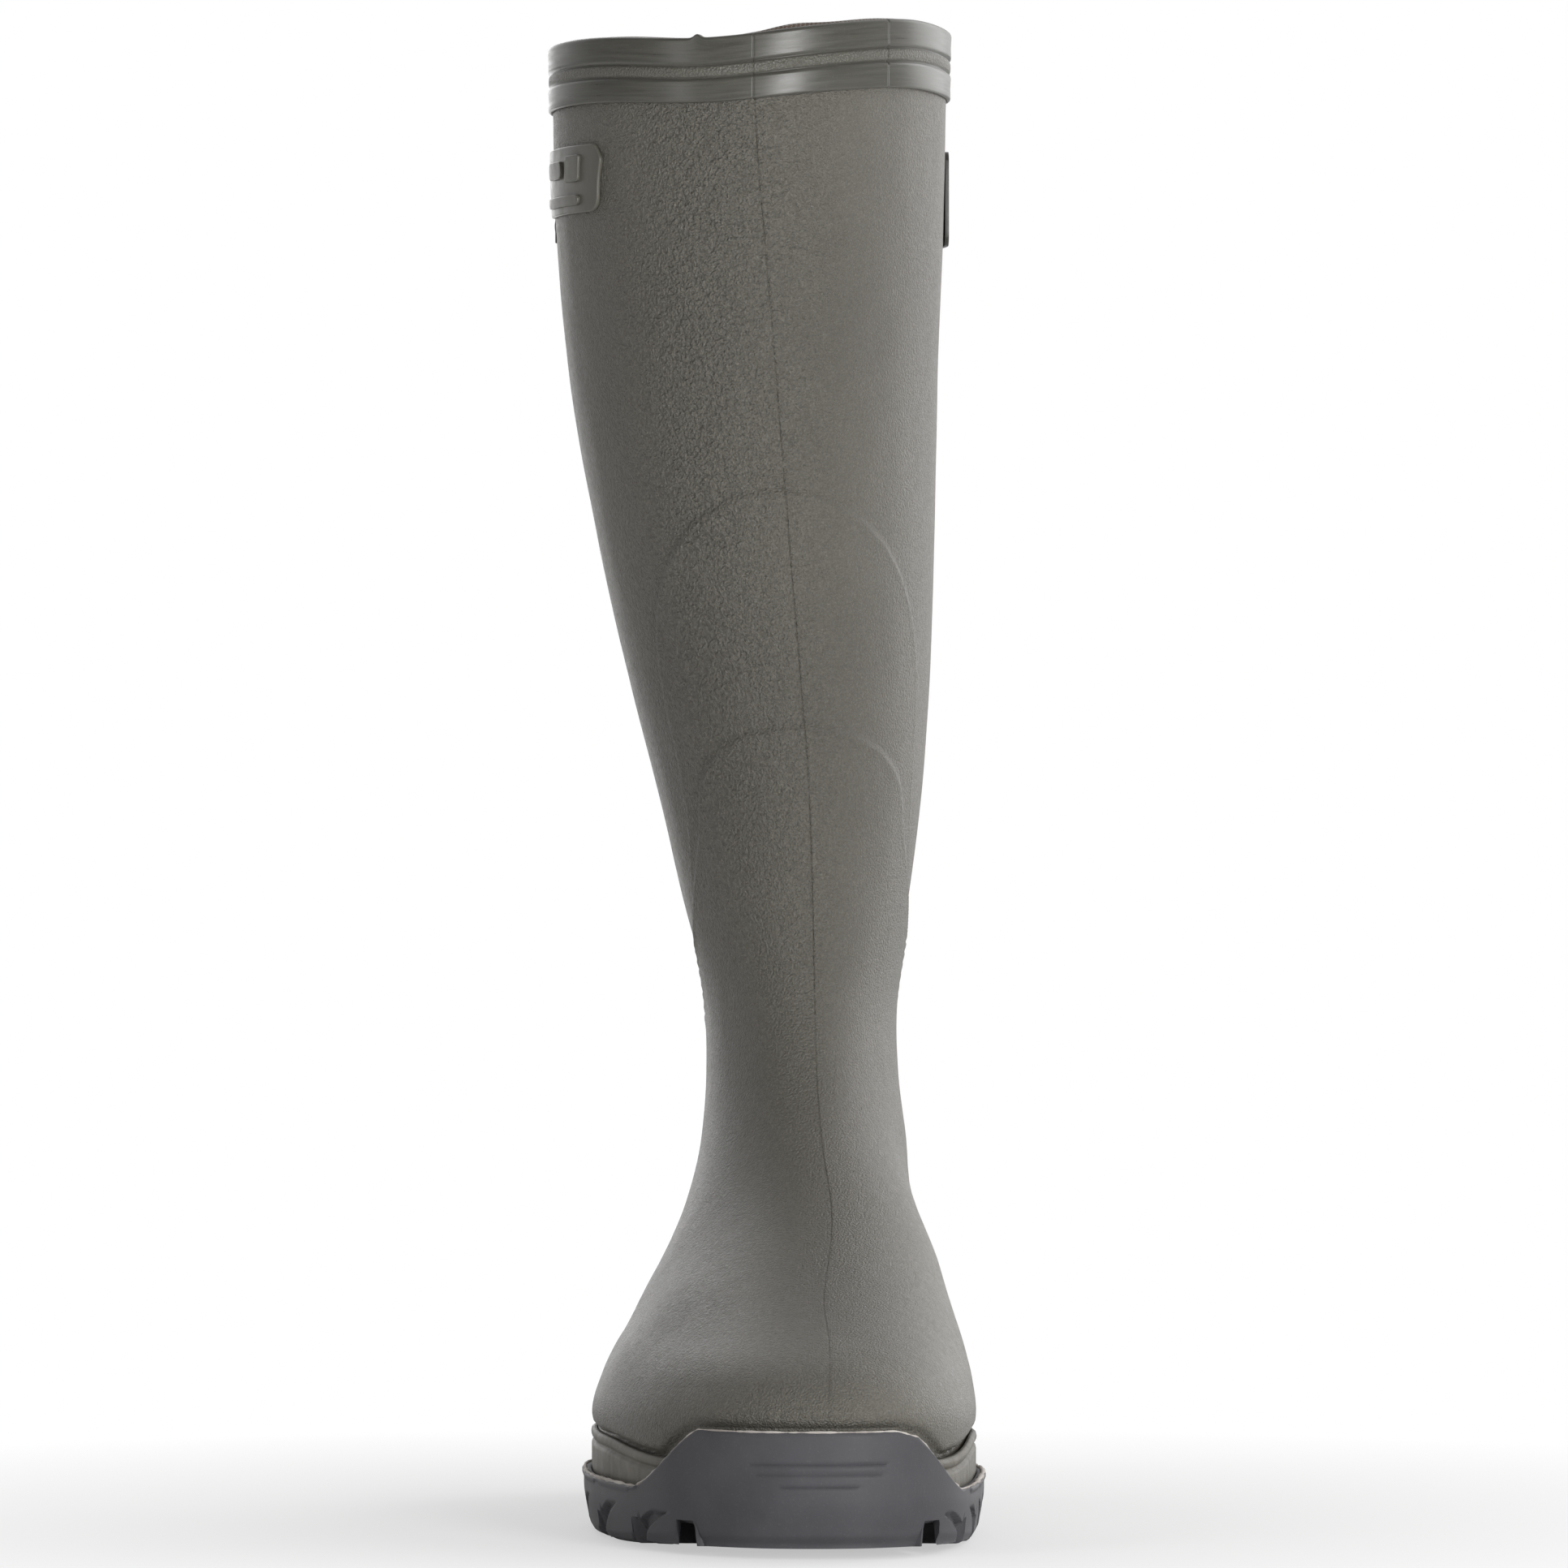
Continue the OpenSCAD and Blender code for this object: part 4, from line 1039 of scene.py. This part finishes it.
def outsole():
    """One moulded outsole: tread, side wall, toe bumper, and the cup that holds the upper."""
    half = 380
    a = turns(2 * half)
    n = len(a)
    rim, _ = outline(a, 0 * a)
    grow = sole_grow(rim[:, 1])
    full, _ = outline(a, grow)
    x, y = full.T
    top_z = wall_top(x, y)
    low_z = sole_bottom(x, y, 0 * x)
    rows = []
    for t in np.linspace(0, 1, 58):
        z = low_z + (top_z - low_z) * t
        above = z - lift(y) * (y < -100)
        taper = -1.7 * smooth((13 - above) / 13) - 1.1 * smooth((3 - above) / 3)
        lip = 0.5 * smooth((t - 0.86) / 0.08) * (y > -185) - 0.5 * smooth((t - 0.97) / 0.03)
        bulge = 0.7 * smooth((-185 - y) / 20) * np.sin(math.pi * np.clip((z - 4) / 34, 0, 1))
        cut_in = side_grooves(x, y, z) + bumper_grooves(x, y, z)
        ring, _ = outline(a, grow + taper + lip + bulge - cut_in)
        rows.append(np.concatenate([ring, z[:, None]], -1))
    cup = 1.8 + 0.3 * (grow - SOLE_GROW)
    for width, drop in ((cup + 0.4, 0.0), (cup, 0.3), (cup, 4.0)):
        ring, _ = outline(a, width)
        rows.append(np.concatenate([ring, (top_z - drop)[:, None]], -1))
    ring, _ = outline(a, 1.0 + 0 * a)
    rows.append(np.concatenate([ring, (12 + lift(ring[:, 1]))[:, None]], -1))
    rings = np.array(rows)
    grid, closing = bridge(rings[0], 0, len(rings) * n, 110, sole_bottom)
    inside = rungs((len(rings) - 1) * n, n)
    faces = np.vstack([grid_faces(len(rings), n, True), closing, inside])
    obj = new_object("boot_outsole", np.concatenate([rings.reshape(-1, 3), grid]), polygons(faces), SOLE)
    outward(obj, 0.0005)
    smooth_by_angle(obj, 40)
    settle(obj, "boot", "sole_rubber", "outsole")
    flash_line(a, grow, top_z)


def flash_line(a, grow, top_z):
    """The ragged pale lip of moulding flash along the outsole's top edge."""
    turn = np.linspace(0, 2 * np.pi, 8, endpoint=False)
    rng = np.random.default_rng(5)
    n = len(a)
    coarse = np.convolve(np.tile(rng.uniform(0, 1, n), 3), np.ones(14) / 14, "same")[n:2 * n]
    fine = np.convolve(np.tile(rng.uniform(0, 1, n), 3), np.ones(3) / 3, "same")[n:2 * n]
    radius = 0.16 + 0.5 * np.clip(fine - 0.25, 0, 1) + 0.9 * np.clip(coarse - 0.5, 0, 1)
    xy, out = outline(a, grow - 0.45 + 0.3 * radius)
    radius = radius * (1 + 1.1 * smooth((xy[:, 1] + 195) / 25))
    centre = np.concatenate([xy, (top_z + 0.05)[:, None]], -1)
    out = np.concatenate([out, np.zeros((n, 1))], -1)
    rings = (centre[:, None] + radius[:, None, None] * (
        0.9 * np.cos(turn)[None, :, None] * out[:, None]
        + 0.8 * np.sin(turn)[None, :, None] * np.array([0, 0, 1.0])))
    obj = tube("sole_flash", rings, FLASH)
    settle(obj, "boot", "sole_rubber")


def foxing():
    """Grooved strip between the upper and the sole: a textured band under a round bead."""
    profile = [(15.5, 0.3), (15.5, 1.4), (17.4, 1.7), (23.8, 1.7), (24.6, 1.5), (25.0, 0.8), (25.6, 0.75),
               (26.0, 1.3), (26.6, 1.75), (27.4, 1.85), (28.1, 1.7), (28.6, 1.1), (28.9, 0.3)]
    a = turns(720)
    rings = []
    for z, grow in profile:
        uneven = 0.05 * np.sin(a * 0.9) * np.sin(a * 2.3 + z)
        xy, _ = outline(a, grow + uneven)
        height = z - FOXING_Z + foxing_top(xy[:, 1])
        rings.append(np.concatenate([xy, height[:, None]], -1))
    obj = tube("foxing_band", np.array(rings).transpose(1, 0, 2), FOXING)
    settle(obj, "boot", "upper_rubber", "foxing_strip")


FOOTBED_INSET = INSIDE_D + 6.4
FOOTBED_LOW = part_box("footbed_foam")[0][2] / MM
FOOTBED_SPLIT = FOOTBED_LOW + 4.0
FOOTBED_TOP = FOOTBED_SPLIT + 1.0


def footbed_hollow(x, y, inset):
    """Rise of the footbed's top: a cupped heel, a raised arch and soft uneven felt."""
    at_edge = smooth((11 - inset) / 11)
    cup = 1.0 * at_edge * smooth((y + 30) / 40)
    arch = 2.4 * smooth((16 - inset) / 16) * (x > 4) * np.exp(-((y + 45) / 26) ** 2)
    place = np.stack([x, y, 0 * x], -1)
    return cup + arch + 0.25 * waves(place, 18, 31) + 0.1 * waves(place, 5, 32)


def footbed_layer(name, node, material, low, high, low_hollow, high_hollow, edge):
    """A layer of the footbed between two levels, each plain or hollowed, with a soft edge."""
    a = turns(240)
    rings = []
    for grow, level, hollow in ((-edge, low, low_hollow), (0, low + edge, low_hollow),
                                (0, high - edge, high_hollow), (-edge, high, high_hollow)):
        xy, _ = outline(a, grow - FOOTBED_INSET + 0 * a)
        z = level + lift(xy[:, 1]) + hollow * footbed_hollow(xy[:, 0], xy[:, 1], 0 * a)
        rings.append(np.concatenate([xy, z[:, None]], -1))
    n = len(a)

    def level_of(level, hollow):
        return lambda x, y, inset: level + lift(y) + hollow * footbed_hollow(x, y, inset)

    count = len(rings) * n
    under, under_faces = bridge(rings[0], 0, count, 40, level_of(low, low_hollow))
    over, over_faces = bridge(rings[-1], count - n, count + len(under), 40, level_of(high, high_hollow))
    faces = np.vstack([grid_faces(len(rings), n, True), under_faces, over_faces])
    obj = new_object(name, np.concatenate([*rings, under, over]), polygons(faces), material)
    outward(obj, 0.0005)
    settle(obj, "footbed", "footbed_cloth" if material is FELT else "footbed_foam", node)


def footbed():
    footbed_layer("footbed_base", "footbed_foam", DARK_FOAM, FOOTBED_LOW, FOOTBED_SPLIT - 0.05, 0, 1, 0.9)
    footbed_layer("footbed_felt", "footbed_cover", FELT, FOOTBED_SPLIT + 0.05, FOOTBED_TOP, 1, 1, 0.3)


# ---------- fittings on the leg

STRAP_Z = 386.0
WALL_STATION = float(station_at(STRAP_Z))
ARC_A = np.linspace(60, 340, 1401)
ARC_RUN = run_along(surface(np.full_like(ARC_A, WALL_STATION), ARC_A))


def run_at(a):
    return np.interp(a, ARC_A, ARC_RUN)


def angle_at(run):
    return np.interp(run, ARC_RUN, ARC_A)


def wrap(obj, start_angle, rise=lambda a: 0 * a, z=STRAP_Z):
    """Lays a flat mesh on the leg: its x runs round the leg from start_angle, its y is up."""
    co = points_of(obj)
    a = angle_at(run_at(start_angle) + co[:, 0])
    heights = z + co[:, 1]
    base = surface(station_at(heights), a)
    n = normal(station_at(heights), a)
    flat = np.concatenate([unit(n[:, :2]), np.zeros((len(n), 1))], -1)
    placed = base + flat * (co[:, 2] + rise(a))[:, None]
    placed[:, 2] = heights
    obj.data.vertices.foreach_set("co", (placed * MM).ravel())
    obj.data.update()


def slab_shape(name, outline_points, low, high, bevel, cut=1.2):
    """A flat bevelled slab of badge rubber, in mm, cut into strips that can follow the leg."""
    curve = bpy.data.curves.new(name, "CURVE")
    curve.dimensions = "2D"
    curve.fill_mode = "BOTH"
    curve.extrude = ((high - low) / 2 - bevel) * MM
    curve.bevel_depth = bevel * MM
    curve.bevel_resolution = 2
    curve.offset = -bevel * MM
    spline = curve.splines.new("POLY")
    spline.points.add(len(outline_points) - 1)
    for point, (x, y) in zip(spline.points, outline_points):
        point.co = (x * MM, y * MM, 0, 1)
    spline.use_cyclic_u = True
    temp = link(name + "_curve", curve)
    bpy.context.view_layer.update()
    mesh = bpy.data.meshes.new_from_object(temp.evaluated_get(bpy.context.evaluated_depsgraph_get()))
    bpy.data.objects.remove(temp)
    bm = bmesh.new()
    bm.from_mesh(mesh)
    bmesh.ops.translate(bm, verts=bm.verts, vec=(0, 0, (high + low) / 2 * MM))
    bmesh.ops.remove_doubles(bm, verts=bm.verts, dist=2e-6)
    xs = [v.co.x for v in bm.verts]
    x = min(xs) + cut * MM
    while x < max(xs):
        bmesh.ops.bisect_plane(bm, geom=bm.verts[:] + bm.edges[:] + bm.faces[:], dist=1e-7,
                               plane_co=(x, 0, 0), plane_no=(1, 0, 0))
        x += cut * MM
    bmesh.ops.recalc_face_normals(bm, faces=bm.faces)
    bm.to_mesh(mesh)
    bm.free()
    mesh.materials.clear()
    mesh.materials.append(BADGE)
    return link(name, mesh)


def soft_polygon(corners, steps=8):
    """An outline from corners given as (x, y, cut), each rounded over its cut length."""
    points = []
    for k, (x, y, cut) in enumerate(corners):
        corner = np.array([x, y])
        before = np.array(corners[k - 1][:2]) - corner
        after = np.array(corners[(k + 1) % len(corners)][:2]) - corner
        for t in np.linspace(0, 1, steps + 1):
            points.append(tuple(corner + cut * ((1 - t) ** 2 * unit(before) + t**2 * unit(after))))
    return points


def rounded_rect(x0, x1, y0, y1, cut, steps, lean=0.0):
    """A rectangle with rounded corners, whose upper edge may lean to the right."""
    return soft_polygon([(x0, y0, cut), (x1, y0, cut), (x1 + lean, y1, cut), (x0 + lean, y1, cut)], steps)


HARDWARE = (
    ("calf_strap", "strap_visual", 0.35, STRAP, "boot"),
    ("buckle_chape", "chape_visual", 0.25, STRAP, "boot"),
    ("strap_keeper", "keeper_visual", 0.3, STRAP, "keeper"),
    ("inner_strap_pad", "inner_pad_visual", 0.45, STRAP, "boot"),
    ("outer_strap_pad", "outer_pad_visual", 0.45, STRAP, "boot"),
    ("strap_rivets", "strap_rivets_visual", 0.25, METAL, "boot"),
    ("chape_rivets", "chape_rivets_visual", 0.25, METAL, "boot"),
    ("buckle_frame", "buckle_frame_visual", 0.3, METAL, "buckle"),
    ("buckle_prong", "buckle_prong_visual", 0.3, METAL, "prong"),
)


def hardware():
    for node, name, width, material, body in HARDWARE:
        obj = rounded_copy(node, name, width, material)
        settle(obj, body, "strap_rubber" if material is STRAP else "buckle_metal", node)


BADGE_ANGLES = (272.0, 313.0)
BADGE_Z = 389.4
BADGE_H = 19.8


def badge():
    """Smooth plate on the outer side, with blank raised shapes in place of any mark."""
    width = run_at(BADGE_ANGLES[1]) - run_at(BADGE_ANGLES[0])
    top = BADGE_H / 2
    corners = [(0, -top, 4), (width - 2.2, -top, 5), (width - 1.8, -1.0, 3), (width, top - 4.6, 1.4),
               (width - 3.4, top, 1.4), (0, top, 4)]
    plate = slab_shape("badge_plate_visual", soft_polygon(corners), -0.2, 1.15, 0.45)
    smooth_by_angle(plate, 40)
    wrap(plate, BADGE_ANGLES[0], lambda a: 0.1 + 0 * a, BADGE_Z)
    settle(plate, "boot", "badge_rubber", "badge_plate")
    middle = width / 2
    bar = rounded_rect(middle - 15.8, middle + 13.2, -7.6, -4.6, 1.5, 5)
    panel = rounded_rect(middle + 4.0, middle + 13.4, -0.8, 7.0, 1.0, 4, 1.0)
    oval = rounded_rect(middle - 14.0, middle + 1.0, 0.6, 5.8, 2.5, 6)
    pieces = [slab_shape(f"relief_{k}", shape, -0.3, 1.1, 0.25, 1.0)
              for k, shape in enumerate((bar, panel, oval))]
    obj = join(pieces, "badge_relief_visual")
    wrap(obj, BADGE_ANGLES[0], lambda a: 1.2 + 0 * a, BADGE_Z)
    settle(obj, "boot", "badge_rubber", "badge_relief")


def join(pieces, name):
    """One object from several, which are removed."""
    bm = bmesh.new()
    for piece in pieces:
        bm.from_mesh(piece.data)
    mesh = bpy.data.meshes.new(name)
    bm.to_mesh(mesh)
    bm.free()
    mesh.materials.append(pieces[0].data.materials[0])
    for piece in pieces:
        bpy.data.objects.remove(piece)
    obj = link(name, mesh)
    smooth_by_angle(obj, 40)
    return obj


upper()
top_band()
lining_piece()
collar_tape()
outsole()
foxing()
footbed()
gusset()
hardware()
badge()

CARRIED_OVER = (("midsole", FOAM), ("shank", STEEL), ("insole_board", BOARD),
                ("toe_stiffener", CANVAS), ("heel_counter", CANVAS), ("neoprene_sock", NEOPRENE))

for node, material in CARRIED_OVER:
    NODES[node].data.materials.clear()
    NODES[node].data.materials.append(material)

# ---------- studio


SKY_FRONT = 0.16
SKY_BACK = 1.15
SKY_BRIGHTEST = (0.3, 0.95, 0.05)
FLOOR_FAR = 90000
FLOOR_NEAR = -9000
FLOOR_Z = -0.3


def studio():
    """A wide pale floor, under a sky that is bright behind the boot and dim in front of it."""
    corners = [(-FLOOR_FAR, FLOOR_NEAR, FLOOR_Z), (FLOOR_FAR, FLOOR_NEAR, FLOOR_Z),
               (FLOOR_FAR, FLOOR_FAR, FLOOR_Z), (-FLOOR_FAR, FLOOR_FAR, FLOOR_Z)]
    floor = new_object("studio_floor", corners, [[0, 1, 2, 3]], FLOOR)
    world = bpy.data.worlds.new("studio")
    n = Nodes(world)
    place = n.add("TexCoord").outputs["Generated"]
    towards = n.vector("DOT_PRODUCT", {0: place, 1: SKY_BRIGHTEST})["Value"]
    sockets = {"Value": towards, "From Min": -0.1, "From Max": 0.85, "To Min": SKY_FRONT, "To Max": SKY_BACK}
    strength = n.add("MapRange", sockets, interpolation_type="SMOOTHSTEP").outputs["Result"]
    seen = n.add("LightPath").outputs["Is Camera Ray"]
    background = n.tree.nodes["Background"]
    n.put(background.inputs["Strength"], n.add("Mix", {0: seen, 2: strength, 3: 1.0}).outputs[0])
    n.put(background.inputs["Color"], (1, 1, 1, 1))
    bpy.context.scene.world = world
    bpy.context.scene.view_settings.view_transform = "Standard"


LIGHT_AIM = 0.22


def softbox(name, turn, rise, distance, width, height, power):
    """An upright light at an angle round the boot from the camera, positive to the right."""
    target = Vector((0, 0, LIGHT_AIM))
    t = math.radians(turn)
    place = target + Vector((distance * math.sin(t), -distance * math.cos(t), rise))
    light = bpy.data.lights.new(name, "AREA")
    light.shape = "RECTANGLE"
    light.size = width
    light.size_y = height
    light.energy = power
    obj = link(name, light)
    obj.location = place
    obj.rotation_euler = (target - place).to_track_quat("-Z", "Y").to_euler()


CAMERA_DISTANCE = 3.0
CAMERA_HEIGHT = 0.2123
CAMERA_LENS = 232.6


def camera():
    data = bpy.data.cameras.new("camera")
    data.lens = CAMERA_LENS
    data.sensor_width = 36
    obj = link("camera", data)
    obj.location = (0, -CAMERA_DISTANCE, CAMERA_HEIGHT)
    obj.rotation_euler = (math.pi / 2, 0, 0)
    bpy.context.scene.camera = obj


studio()
camera()
softbox("front_right", 26, 0.1, 1.7, 0.5, 1.1, 22.5)
softbox("front_left", -48, 0.3, 1.7, 0.2, 1.3, 3.5)
softbox("side_right", 134, 0.3, 1.5, 0.9, 1.6, 8)
softbox("back_left", -166, 0.3, 1.5, 0.4, 1.6, 4)
